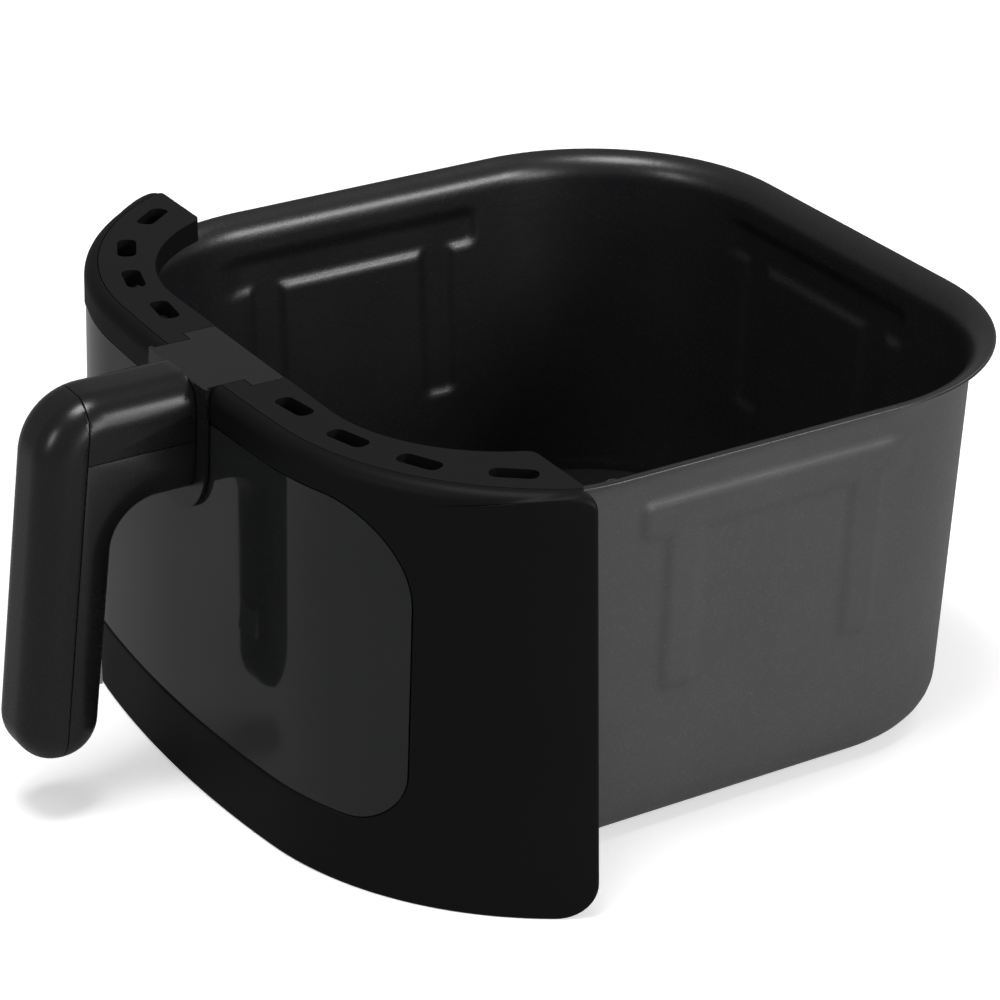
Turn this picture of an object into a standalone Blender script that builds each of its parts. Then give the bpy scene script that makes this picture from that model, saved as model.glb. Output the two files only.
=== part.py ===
"""Removable drawer of a basket air fryer: a flared sheet-steel pan with a lift-out crisper plate,
a curved double-walled front with a glazed window, a slotted top frame and a hanging grip.

Metres, +Z up, the front towards -Y. Every piece is modelled about the pan's own centre line, with z = 0
under the pan, and hangs on one empty that puts the origin under the middle of the whole drawer.
"""

import math

import bmesh
import bpy
from mathutils import Matrix, Vector

# ---- general clearances ---------------------------------------------------------------------------
FIT_GAP = 0.0003
CUT_OVER = 0.004
FLAT_ANGLE = math.radians(0.05)
NEARLY_ROUND = 0.98

# ---- pan ------------------------------------------------------------------------------------------
PAN_WIDTH = 0.250
PAN_DEPTH = 0.250
PAN_HEIGHT = 0.134
PAN_CORNER = 0.0733
PAN_SHEET = 0.0012
PAN_DRAFT = 0.0055
PAN_BASE_RADIUS = 0.0135
RIM_RADIUS = 0.0076
CORNER_STEPS = 9
PLAN_STEPS = 10
FILLET_STEPS = 4

# ---- pressed stiffening shapes in the pan's walls -------------------------------------------------
RIB_PROUD = 0.0016
RIB_SLOPE = 0.0008
RIB_BAR_LENGTH = 0.100
RIB_BAR_HEIGHT = 0.012
RIB_BAR_TOP_DROP = 0.015
RIB_LEG_WIDTH = 0.012
RIB_LEG_INSET = 0.0095
RIB_LEG_LENGTH = 0.055
RIB_SHIFT = 0.010

# ---- window in the pan's front wall ---------------------------------------------------------------
INNER_OPENING_WIDTH = 0.084
INNER_OPENING_HEIGHT = 0.050
INNER_OPENING_MIDDLE = 0.056
INNER_OPENING_RADIUS = 0.012
GLASS_LAP = 0.008
GLASS_THICKNESS = 0.003
GASKET_THICKNESS = 0.0012
RETAINER_SHEET = 0.001
RETAINER_MARGIN = 0.009
RETAINER_SIGHT = 0.003
RETAINER_SCREW_RADIUS = 0.0015
GASKET_SIGHT = 0.001

# ---- moulded front --------------------------------------------------------------------------------
COVER_FOOT_BEYOND_PAN = 0.018
COVER_FOOT_FRONT_RADIUS = 0.460
COVER_FOOT_CORNER_RADIUS = 0.113
COVER_FOOT_CORNER_IN = 0.0805
COVER_HEAD_BEYOND_PAN = 0.011
COVER_HEAD_FRONT_RADIUS = 1.000
COVER_HEAD_CORNER_RADIUS = 0.103
COVER_HEAD_CORNER_IN = 0.0764
COVER_WALL = 0.0026
COVER_SHOULDER = 0.0045
COVER_SIDE_LENGTH = 0.0695
COVER_RUN_ON = 0.024
COVER_RISE_OVER_RIM = 0.008
SIDE_FOOT_RADIUS = 0.012
SIDE_HEAD_RADIUS = 0.0055
LINER_WALL = 0.002
LINER_TO_PAN = 0.001

# ---- window in the moulded front ------------------------------------------------------------------
WINDOW_HALF_WIDTH = 0.109
WINDOW_LOW = 0.0245
WINDOW_HIGH = 0.1305
WINDOW_LOW_RADIUS = 0.020
WINDOW_HIGH_RADIUS = 0.030
PANE_RECESS = 0.0004
SEAL_THICKNESS = 0.0015
SEAL_LAP = 0.005

# ---- top frame ------------------------------------------------------------------------------------
FRAME_WALL = 0.0022
FRAME_OVERHANG = 0.0045
FRAME_SKIRT = 0.010
SLOT_WIDTH = 0.0064
SLOT_LENGTH = 0.015
SLOTS_INSIDE_RIM = (
    (0.0816, 0.0053, 7.0),
    (0.0533, 0.0085, 16.0),
    (0.0284, 0.0183, 26.0),
    (0.0073, 0.0382, 52.0),
)

# ---- handle ---------------------------------------------------------------------------------------
HANDLE_BEYOND_COVER = 0.0595
HANDLE_WIDTH = 0.028
HANDLE_EDGE = 0.0105
GRIP_THICKNESS = 0.028
GRIP_DROP = 0.1135
GRIP_TILT = 0.015
GRIP_OUTER_RADIUS = 0.022
GRIP_FOOT_RADIUS = 0.0135
NECK_TOP = 0.009
NECK_DEPTH = 0.039
NECK_FILLET = 0.016
GRIP_COVER_DEPTH = 0.0145
NECK_COVER_DEPTH = 0.020
SEAM_REACH_OUT = 0.020
BIB_HALF_WIDTH = 0.0195
BIB_THICKNESS = 0.0026
BIB_BELOW_NECK = 0.008
BIB_LAP = 0.002
BIB_TOP_RADIUS = 0.001
TONGUE_HALF_WIDTH = 0.0233
TONGUE_WAIST_HALF_WIDTH = 0.018
TONGUE_STEP_IN = 0.0018
BOLT_RADIUS = 0.0025
BOLT_HEAD_RADIUS = 0.0045
BOLT_HEAD_HEIGHT = 0.003
BOLT_LENGTH = 0.040
BOLT_TIP_ROOM = 0.001
BOLT_BELOW_RIM = 0.022
BOLT_SPREAD = 0.0095
BRACKET_SHEET = 0.002
BRACKET_WIDTH = 0.064
BRACKET_HEIGHT = 0.0235
BRACKET_ARM_WIDTH = 0.034
BRACKET_ARM_SHORTER = 0.0015
RIVET_RADIUS = 0.002
RIVET_HEAD_RADIUS = 0.004
RIVET_HEAD_HEIGHT = 0.0018
RIVET_TAIL_HEIGHT = 0.001
RIVET_EDGE_ROOM = 0.008
RIVET_END_ROOM = 0.005
SPINE_THICKNESS = 0.004
SPINE_WIDTH = 0.012
SPINE_FOOT = 0.022
SPINE_BEHIND_SEAM = 0.001
GRIP_POCKET_SIDE = 0.0085
GRIP_POCKET_END = 0.025
GRIP_POCKET_FRONT = 0.006

# ---- crisper plate --------------------------------------------------------------------------------
PLATE_CLEARANCE = 0.0035
PLATE_HEIGHT = 0.012
PLATE_SHEET = 0.0012
PLATE_LIP = 0.004
PLATE_HOLE_RADIUS = 0.0045
PLATE_HOLE_PITCH = 0.027
FOOT_RADIUS = 0.005
FOOT_PEG_RADIUS = 0.0025
FOOT_BUTTON_HEIGHT = 0.0015

# ---- worked out from the sizes above --------------------------------------------------------------
COVER_FOOT_REACH = PAN_DEPTH / 2 + COVER_FOOT_BEYOND_PAN
COVER_HEAD_REACH = PAN_DEPTH / 2 + COVER_HEAD_BEYOND_PAN
COVER_FOOT_CORNER_OUT = PAN_WIDTH / 2 - COVER_FOOT_CORNER_IN
COVER_HEAD_CORNER_OUT = PAN_WIDTH / 2 - COVER_HEAD_CORNER_IN
COVER_BACK_EDGE = COVER_FOOT_REACH - COVER_SIDE_LENGTH
HANDLE_REACH = COVER_FOOT_REACH + HANDLE_BEYOND_COVER
PAN_CENTRE_Y = (HANDLE_REACH - PAN_DEPTH / 2) / 2
COVER_HEIGHT = PAN_HEIGHT + COVER_RISE_OVER_RIM
RIM_INNER_RADIUS = RIM_RADIUS + PAN_SHEET
WALL_TOP = PAN_HEIGHT - RIM_INNER_RADIUS
WALL_TILT = math.atan(PAN_DRAFT / (WALL_TOP - PAN_BASE_RADIUS))
SEAL_INSET = COVER_WALL + FIT_GAP
LINER_INSET = SEAL_INSET + SEAL_THICKNESS + FIT_GAP
NECK_UNDER = PAN_HEIGHT + NECK_TOP - NECK_DEPTH
GRIP_LEAN = math.atan(GRIP_TILT / (GRIP_DROP + NECK_TOP))
FRAME_TOP = COVER_HEIGHT
FRAME_EDGE = COVER_SHOULDER + FIT_GAP
WELL_OUT = 2 * COVER_FOOT_REACH

PARTS = bpy.data.collections.new("air_fryer_drawer")
CUTTERS = bpy.data.collections.new("cutters")


class Finish:
    """A named Principled material, made once and shared by the pieces that have it."""

    made = {}

    @classmethod
    def get(cls, name, colour, roughness, metallic=0.0, alpha=1.0):
        if name not in cls.made:
            material = bpy.data.materials.new(name)
            material.use_nodes = True
            shader = material.node_tree.nodes["Principled BSDF"]
            shader.inputs["Base Color"].default_value = (*colour, 1.0)
            shader.inputs["Roughness"].default_value = roughness
            shader.inputs["Metallic"].default_value = metallic
            shader.inputs["Alpha"].default_value = alpha
            cls.made[name] = material
        return cls.made[name]


def coated_steel():
    return Finish.get("nonstick_coating", (0.05, 0.05, 0.052), 0.42, 0.3)


def matte_black():
    return Finish.get("matte_black_plastic", (0.008, 0.008, 0.008), 0.55)


def satin_black():
    return Finish.get("satin_black_plastic", (0.014, 0.014, 0.015), 0.3)


def smoked_glass():
    return Finish.get("smoked_glass", (0.02, 0.021, 0.023), 0.06, 0.0, 0.9)


def clear_glass():
    return Finish.get("clear_glass", (0.5, 0.55, 0.55), 0.04, 0.0, 0.4)


def silicone():
    return Finish.get("grey_silicone", (0.09, 0.09, 0.095), 0.7)


def bare_steel():
    return Finish.get("bare_steel", (0.55, 0.55, 0.56), 0.3, 1.0)


# ---- making objects -------------------------------------------------------------------------------

def clear_scene():
    for old in list(bpy.data.objects):
        bpy.data.objects.remove(old)
    for collection in (PARTS, CUTTERS):
        bpy.context.scene.collection.children.link(collection)
    CUTTERS.hide_render = True


def datum(name, location, tilt=0.0, parent=None):
    """An empty that pieces hang on; tilt turns it about X."""
    empty = bpy.data.objects.new(name, None)
    empty.empty_display_size = 0.02
    empty.location = location
    empty.rotation_euler = (tilt, 0.0, 0.0)
    empty.parent = parent
    PARTS.objects.link(empty)
    return empty


def piece(name, mesh, finish, parent, location=(0.0, 0.0, 0.0), smooth=30.0):
    """A sub-part: its own object, material and parent."""
    mesh.name = name
    mesh.materials.clear()
    mesh.materials.append(finish)
    mesh.shade_smooth()
    mesh.set_sharp_from_angle(angle=math.radians(smooth))
    made = bpy.data.objects.new(name, mesh)
    made.parent = parent
    made.location = location
    PARTS.objects.link(made)
    return made


def cutter(name, mesh, parent, location=(0.0, 0.0, 0.0)):
    """A helper solid that a Boolean uses and no picture shows."""
    made = bpy.data.objects.new(name, mesh)
    made.parent = parent
    made.location = location
    made.hide_render = True
    made.display_type = "WIRE"
    CUTTERS.objects.link(made)
    return made


def combine(target, other, operation="DIFFERENCE"):
    modifier = target.modifiers.new(other.name, "BOOLEAN")
    modifier.operation = operation
    modifier.solver = "EXACT"
    modifier.object = other
    return target


def settled(bm, name):
    """The bmesh as a mesh, with its normals facing out."""
    bmesh.ops.remove_doubles(bm, verts=bm.verts, dist=1e-7)
    bmesh.ops.recalc_face_normals(bm, faces=bm.faces)
    mesh = bpy.data.meshes.new(name)
    bm.to_mesh(mesh)
    bm.free()
    return mesh


def extruded(name, outlines, low, high, matrix=None):
    """A flat 2D curve through the outlines, thick from low to high along its normal, as a mesh."""
    curve = bpy.data.curves.new(name, "CURVE")
    curve.dimensions = "2D"
    curve.fill_mode = "BOTH"
    curve.extrude = (high - low) / 2
    for outline in outlines:
        spline = curve.splines.new("POLY")
        spline.points.add(len(outline) - 1)
        for point, place in zip(spline.points, outline):
            point.co = (place[0], place[1], 0.0, 1.0)
        spline.use_cyclic_u = True
    holder = bpy.data.objects.new(name, curve)
    CUTTERS.objects.link(holder)
    graph = bpy.context.evaluated_depsgraph_get()
    mesh = bpy.data.meshes.new_from_object(holder.evaluated_get(graph))
    bpy.data.objects.remove(holder)
    bpy.data.curves.remove(curve)
    shape = bmesh.new()
    shape.from_mesh(mesh)
    bpy.data.meshes.remove(mesh)
    bmesh.ops.translate(shape, verts=shape.verts, vec=(0.0, 0.0, (low + high) / 2))
    if matrix is not None:
        bmesh.ops.transform(shape, matrix=matrix, verts=shape.verts)
    bmesh.ops.remove_doubles(shape, verts=shape.verts, dist=1e-7)
    bmesh.ops.dissolve_limit(shape, angle_limit=FLAT_ANGLE, verts=shape.verts, edges=shape.edges)
    return settled(shape, name)


def facing_front(name, outlines, near, far):
    """An extrusion of outlines in X and Z, from y = far (front) to y = near (back)."""
    turn = Matrix(((1, 0, 0, 0), (0, 0, 1, 0), (0, 1, 0, 0), (0, 0, 0, 1)))
    return extruded(name, outlines, min(near, far), max(near, far), turn)


def facing_side(name, outlines, half_width):
    """An extrusion of outlines in Y and Z, across the middle plane."""
    turn = Matrix(((0, 0, 1, 0), (1, 0, 0, 0), (0, 1, 0, 0), (0, 0, 0, 1)))
    return extruded(name, outlines, -half_width, half_width, turn)


def block(name, low, high):
    """A box between two corners."""
    shape = bmesh.new()
    bmesh.ops.create_cube(shape, size=1.0)
    size = [b - a for a, b in zip(low, high)]
    middle = [(a + b) / 2 for a, b in zip(low, high)]
    bmesh.ops.scale(shape, vec=size, verts=shape.verts)
    bmesh.ops.translate(shape, vec=middle, verts=shape.verts)
    return settled(shape, name)


def lofted(name, rings):
    """A closed body through rings of equal point count, with a cap on the first and the last."""
    shape = bmesh.new()
    rows = [[shape.verts.new(point) for point in ring] for ring in rings]
    for lower, upper in zip(rows, rows[1:]):
        for i in range(len(lower)):
            j = (i + 1) % len(lower)
            shape.faces.new((lower[i], lower[j], upper[j], upper[i]))
    shape.faces.new(rows[0][::-1])
    shape.faces.new(rows[-1])
    return settled(shape, name)


def turned(name, profile, steps=12, axis="Z"):
    """A body turned about its axis from a profile of (radius, height), given top to bottom."""
    shape = bmesh.new()
    verts = [shape.verts.new((radius, 0.0, height)) for radius, height in profile]
    edges = [shape.edges.new(pair) for pair in zip(verts, verts[1:])]
    middle = (0, 0, 0)
    upright = (0, 0, 1)
    bmesh.ops.spin(
        shape, geom=verts + edges, cent=middle, axis=upright, angle=math.tau, steps=steps, use_merge=True
    )
    if axis == "Y":
        quarter = Matrix.Rotation(math.pi / 2, 3, "X")
        bmesh.ops.rotate(shape, cent=middle, matrix=quarter, verts=shape.verts)
    return settled(shape, name)


def drill(name, radius, near, far, parent, location):
    """A round cutter along Y, from near to far in front of its place."""
    profile = [(0, far), (radius, far), (radius, near), (0, near)]
    return cutter(name, turned(name, profile, 12, "Y"), parent, location)


def arc(centre, radius, start, end, steps):
    """Points on an arc, in degrees anticlockwise from +X."""
    found = []
    for i in range(steps + 1):
        angle = math.radians(start + (end - start) * i / steps)
        found.append((centre[0] + radius * math.cos(angle), centre[1] + radius * math.sin(angle)))
    return found


def rounded(half_width, low, high, low_radius, high_radius, steps=6, middle=0.0):
    """A rectangle with rounded corners, anticlockwise from its right foot."""
    left = middle - half_width
    right = middle + half_width
    return (
        arc((right - low_radius, low + low_radius), low_radius, -90, 0, steps)
        + arc((right - high_radius, high - high_radius), high_radius, 0, 90, steps)
        + arc((left + high_radius, high - high_radius), high_radius, 90, 180, steps)
        + arc((left + low_radius, low + low_radius), low_radius, 180, 270, steps)
    )


# ---- pan ------------------------------------------------------------------------------------------

def rim_outline(inset, steps=CORNER_STEPS):
    """The rim's plan, moved inwards by inset."""
    half_depth = PAN_DEPTH / 2 - inset
    corner = PAN_CORNER - inset
    return rounded(PAN_WIDTH / 2 - inset, -half_depth, half_depth, corner, corner, steps)


def wall_inset(height):
    """How far the wall's outer face lies inside the rim's edge at a height below the flare."""
    return RIM_RADIUS + (WALL_TOP - height) * math.tan(WALL_TILT)


def pan_rings(sheet):
    """Rings up the pan's outside, or up its inside where sheet is its thickness."""
    rings = []
    base = PAN_BASE_RADIUS - sheet
    foot = wall_inset(PAN_BASE_RADIUS) + sheet
    for i in range(FILLET_STEPS + 1):
        angle = math.radians(90 * i / FILLET_STEPS)
        height = PAN_BASE_RADIUS - base * math.cos(angle)
        rings.append((foot + base * (1 - math.sin(angle)), height))
    flare = RIM_RADIUS + sheet
    for i in range(FILLET_STEPS + 1):
        angle = math.radians(90 * i / FILLET_STEPS)
        rings.append((flare * math.cos(angle), WALL_TOP + flare * math.sin(angle)))
    if sheet:
        rings.append((0.0, PAN_HEIGHT + CUT_OVER))
    else:
        rings.append((0.0, PAN_HEIGHT))
    return [[(x, y, height) for x, y in rim_outline(inset)] for inset, height in rings]


def rib_outline(grow):
    """A bar with two legs below it, set in from its ends: the stiffening shape pressed into three walls."""
    top = PAN_HEIGHT - RIB_BAR_TOP_DROP + grow
    under = top - RIB_BAR_HEIGHT - 2 * grow
    foot = under - RIB_LEG_LENGTH
    end = RIB_BAR_LENGTH / 2 + grow
    leg_out = end - RIB_LEG_INSET
    leg_in = leg_out - RIB_LEG_WIDTH - 2 * grow
    right = [(leg_in, under), (leg_in, foot), (leg_out, foot), (leg_out, under), (end, under), (end, top)]
    return right + [(-x, z) for x, z in reversed(right)]


def rib(name, grow, inner, outer, turn):
    """The stiffening shape between two distances outside the wall's outer face, leaning with the wall."""
    foot = [(x, -inner, z) for x, z in rib_outline(grow + RIB_SLOPE)]
    face = [(x, -outer, z) for x, z in rib_outline(grow)]
    mesh = lofted(name, [foot, face])
    out = Matrix.Translation((0, -(PAN_DEPTH / 2 - wall_inset(0.0)), 0))
    lean = Matrix.Rotation(WALL_TILT, 4, "X")
    along = Matrix.Translation((RIB_SHIFT, 0, 0))
    mesh.transform(Matrix.Rotation(turn, 4, "Z") @ out @ lean @ along)
    return mesh


def build_pan(drawer, front_wall):
    pan = piece("pan", lofted("pan", pan_rings(0.0)), coated_steel(), drawer)
    inside = cutter("pan_inside", lofted("pan_inside", pan_rings(PAN_SHEET)), drawer)
    for side, turn in (("right", math.pi / 2), ("back", math.pi), ("left", -math.pi / 2)):
        pressed = cutter(f"rib_{side}", rib(f"rib_{side}", 0.0, -PAN_SHEET / 2, RIB_PROUD, turn), drawer)
        hollow = rib(f"rib_hollow_{side}", -PAN_SHEET, -2 * PAN_SHEET, RIB_PROUD - PAN_SHEET, turn)
        combine(pan, pressed, "UNION")
        combine(inside, cutter(f"rib_hollow_{side}", hollow, drawer), "UNION")
    combine(pan, inside)
    half_height = INNER_OPENING_HEIGHT / 2
    radius = INNER_OPENING_RADIUS
    opening = rounded(INNER_OPENING_WIDTH / 2, -half_height, half_height, radius, radius)
    hole = facing_front("inner_opening", [opening], CUT_OVER, -CUT_OVER)
    combine(pan, cutter("inner_opening", hole, front_wall))
    return pan


def build_inner_window(front_wall):
    """Glass, gasket and retainer on the pan's front wall, outwards in that order."""
    half_width = INNER_OPENING_WIDTH / 2
    half_height = INNER_OPENING_HEIGHT / 2

    def frame(grow):
        radius = INNER_OPENING_RADIUS + grow
        return rounded(half_width + grow, -half_height - grow, half_height + grow, radius, radius)

    depth = FIT_GAP
    gasket = facing_front("gasket", [frame(GLASS_LAP), frame(GASKET_SIGHT)], -depth, -depth - GASKET_THICKNESS)
    piece("inner_window_gasket", gasket, silicone(), front_wall)
    depth += GASKET_THICKNESS + FIT_GAP
    glass = facing_front("glass", [frame(GLASS_LAP)], -depth, -depth - GLASS_THICKNESS)
    piece("inner_window_glass", glass, clear_glass(), front_wall)
    depth += GLASS_THICKNESS + FIT_GAP
    outlines = [frame(RETAINER_MARGIN + GLASS_LAP), frame(RETAINER_SIGHT)]
    lips = facing_front("retainer", outlines, -depth, -depth - RETAINER_SHEET)
    retainer = piece("inner_window_retainer", lips, bare_steel(), front_wall)
    rim_low = GLASS_LAP + 2 * FIT_GAP
    outlines = [frame(rim_low + RETAINER_SHEET), frame(rim_low)]
    wall = facing_front("retainer_wall", outlines, -FIT_GAP, -depth - RETAINER_SHEET / 2)
    combine(retainer, cutter("retainer_wall", wall, front_wall), "UNION")
    across = half_width + GLASS_LAP + RETAINER_MARGIN / 2 + RETAINER_SHEET
    up = half_height - INNER_OPENING_RADIUS / 2
    head = depth + RETAINER_SHEET + FIT_GAP
    for side, x in (("left", -across), ("right", across)):
        for level, z in (("low", -up), ("high", up)):
            name = f"retainer_screw_{side}_{level}"
            shank = RETAINER_SCREW_RADIUS
            wide = 2 * shank
            tip = head + shank
            profile = [(0, tip), (wide, tip), (wide, head), (shank, head), (shank, FIT_GAP), (0, FIT_GAP)]
            piece(name, turned(name, profile, 12, "Y"), bare_steel(), front_wall, (x, 0, z))
            hole = drill(f"{name}_way", shank + FIT_GAP, -CUT_OVER, tip + CUT_OVER, front_wall, (x, 0, z))
            combine(retainer, hole)


# ---- moulded front --------------------------------------------------------------------------------

def front_plan(reach, front_radius, corner_radius, corner_out, inset):
    """One level of the front's plan: two corner arcs and one flat arc, run on past its back edge."""
    front_y = front_radius - reach
    corner_y = front_y - math.sqrt((front_radius - corner_radius) ** 2 - corner_out**2)
    first = math.degrees(math.asin((corner_y + COVER_BACK_EDGE - COVER_RUN_ON) / corner_radius))
    last = math.degrees(math.atan2(front_y - corner_y, corner_out))
    right = arc((corner_out, corner_y), corner_radius - inset, -first, -last, PLAN_STEPS)
    front = arc((0.0, front_y), front_radius - inset, -last, last - 180, PLAN_STEPS // 2)
    left = arc((-corner_out, corner_y), corner_radius - inset, last - 180, first - 180, PLAN_STEPS)
    return right + front[1:-1] + left


def cover_outline(inset, height):
    """The front's plan at a height, moved inwards by inset: a blend of the foot's plan and the head's."""
    foot = front_plan(
        COVER_FOOT_REACH, COVER_FOOT_FRONT_RADIUS, COVER_FOOT_CORNER_RADIUS, COVER_FOOT_CORNER_OUT, inset
    )
    head = front_plan(
        COVER_HEAD_REACH, COVER_HEAD_FRONT_RADIUS, COVER_HEAD_CORNER_RADIUS, COVER_HEAD_CORNER_OUT, inset
    )
    share = height / COVER_HEIGHT
    return [(a[0] + (b[0] - a[0]) * share, a[1] + (b[1] - a[1]) * share) for a, b in zip(foot, head)]


def cover_ring(inset, height):
    return [(x, y, height) for x, y in cover_outline(inset, height)]


def front_at(height):
    """y of the front's face in the middle, at a height."""
    return -COVER_FOOT_REACH + (COVER_FOOT_REACH - COVER_HEAD_REACH) * height / COVER_HEIGHT


def front_body(name, inset, low, high):
    """The front as a solid block, moved inwards by inset."""
    return lofted(name, [cover_ring(inset, low), cover_ring(inset, high)])


def before_back_edge(name, margin, parent):
    """A block in front of the moulded front's back edge, by a margin."""
    low = (-WELL_OUT, -WELL_OUT, -2 * CUT_OVER)
    high = (WELL_OUT, -COVER_BACK_EDGE - margin, COVER_HEIGHT + 2 * CUT_OVER)
    return cutter(name, block(name, low, high), parent)


def cover_blank(name):
    """The front's outer form, with its rounded shoulder."""
    rings = [cover_ring(0.0, 0.0), cover_ring(0.0, COVER_HEIGHT - COVER_SHOULDER)]
    for i in range(1, FILLET_STEPS + 1):
        angle = math.radians(90 * i / FILLET_STEPS)
        height = COVER_HEIGHT - COVER_SHOULDER * (1 - math.sin(angle))
        rings.append(cover_ring(COVER_SHOULDER * (1 - math.cos(angle)), height))
    return lofted(name, rings)


def side_profile(name, grow):
    """The front seen from the side: square in front, rounded at the foot and head of its back edge."""
    back = -COVER_BACK_EDGE - grow
    foot = SIDE_FOOT_RADIUS - grow
    head = SIDE_HEAD_RADIUS
    outline = [(-WELL_OUT, grow)]
    outline += arc((back - foot, grow + foot), foot, -90, 0, 6)
    outline += arc((back - head, COVER_HEIGHT - head), head, 0, 90, 4)[:-1]
    outline += [(back - head, COVER_HEIGHT + CUT_OVER), (-WELL_OUT, COVER_HEIGHT + CUT_OVER)]
    return facing_side(name, [outline], WELL_OUT)


def window_outline(grow):
    return rounded(
        WINDOW_HALF_WIDTH + grow,
        WINDOW_LOW - grow,
        WINDOW_HIGH + grow,
        WINDOW_LOW_RADIUS + grow,
        WINDOW_HIGH_RADIUS + grow,
    )


def front_cutter(name, outline, parent):
    """A solid through the front's face, from an outline in X and Z."""
    mesh = facing_front(name, [outline], -COVER_FOOT_REACH / 2, -WELL_OUT)
    return cutter(name, mesh, parent)


def window_block(name, grow, parent):
    return front_cutter(name, window_outline(grow), parent)


def shell_between(name, outer, inner, low, high):
    """A skin of the front between two insets, open at its back, top and foot."""
    rings = [cover_ring(outer, height) + cover_ring(inner, height)[::-1] for height in (low, high)]
    return lofted(name, rings)


def tongue_outline(grow):
    """The handle root's tongue in the top frame: a narrow waist in front, then a step out to its back."""
    back = -(PAN_DEPTH / 2 - RIM_INNER_RADIUS - FRAME_OVERHANG) + (CUT_OVER if grow else -FIT_GAP)
    front = front_at(COVER_HEIGHT) - (CUT_OVER if grow else FIT_GAP + BIB_THICKNESS / 2)
    wide = TONGUE_HALF_WIDTH + grow
    waist = TONGUE_WAIST_HALF_WIDTH + grow
    step = TONGUE_STEP_IN - PAN_DEPTH / 2 - grow
    right = [(waist, front), (waist, step), (wide, step), (wide, back)]
    return right + [(-x, y) for x, y in reversed(right)]


def tongue_body(name, grow, low, high):
    return lofted(name, [[(x, y, height) for x, y in tongue_outline(grow)] for height in (low, high)])


def build_front(drawer):
    cover = piece("front_cover", cover_blank("front_cover"), matte_black(), drawer)
    profile = cutter("side_profile", side_profile("side_profile", 0.0), drawer)
    combine(cover, profile, "INTERSECT")
    hollow = front_body("cover_hollow", COVER_WALL, -CUT_OVER, COVER_HEIGHT - COVER_WALL)
    combine(cover, cutter("cover_hollow", hollow, drawer))
    mouth = cover_outline(COVER_SHOULDER, COVER_HEIGHT)
    mouth_low = COVER_HEIGHT - 2 * COVER_SHOULDER
    mouth = extruded("cover_mouth", [mouth], mouth_low, COVER_HEIGHT + CUT_OVER)
    combine(cover, cutter("cover_mouth", mouth, drawer))
    tab = front_cutter("handle_tab", bib_outline(-BIB_LAP), drawer)
    notch = front_cutter("tab_notch", bib_outline(FIT_GAP - BIB_LAP), drawer)
    combine(cover, combine(window_block("window_opening", 0.0, drawer), tab))
    tongue_low = PAN_HEIGHT + FIT_GAP / 2
    tongue = tongue_body("tongue_way", FIT_GAP, tongue_low, COVER_HEIGHT + CUT_OVER)
    tongue_way = cutter("tongue_way", tongue, drawer)
    combine(cover, tongue_way)

    pane = shell_between("window_pane", PANE_RECESS, COVER_WALL, 0.0, COVER_HEIGHT)
    pane = piece("window_pane", pane, smoked_glass(), drawer)
    combine(pane, window_block("pane_outline", -FIT_GAP, drawer), "INTERSECT")
    combine(pane, notch)

    seal = shell_between("window_seal", SEAL_INSET, SEAL_INSET + SEAL_THICKNESS, 0.0, COVER_HEIGHT)
    seal = piece("window_seal", seal, silicone(), drawer)
    combine(seal, window_block("seal_outline", SEAL_LAP, drawer), "INTERSECT")
    combine(seal, window_block("seal_sight", -SEAL_LAP, drawer))
    combine(seal, notch)
    combine(seal, tongue_way)

    liner = front_body("rear_liner", LINER_INSET, 2 * FIT_GAP, PAN_HEIGHT - FRAME_SKIRT - FIT_GAP)
    liner = piece("rear_liner", liner, matte_black(), drawer)
    liner_profile = side_profile("liner_profile", LINER_WALL)
    combine(liner, cutter("liner_profile", liner_profile, drawer), "INTERSECT")
    hollow_inset = LINER_INSET + LINER_WALL
    hollow = front_body("liner_hollow", hollow_inset, 2 * LINER_WALL, COVER_HEIGHT)
    hollow = cutter("liner_hollow", hollow, drawer)
    combine(hollow, before_back_edge("liner_returns", 2 * LINER_WALL, drawer), "INTERSECT")
    combine(liner, hollow)
    combine(liner, cutter("pan_way", lofted("pan_way", pan_rings(-LINER_TO_PAN)), drawer))
    combine(liner, window_block("liner_sight", -2 * SEAL_LAP, drawer))
    return cover, liner, tongue_way


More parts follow.
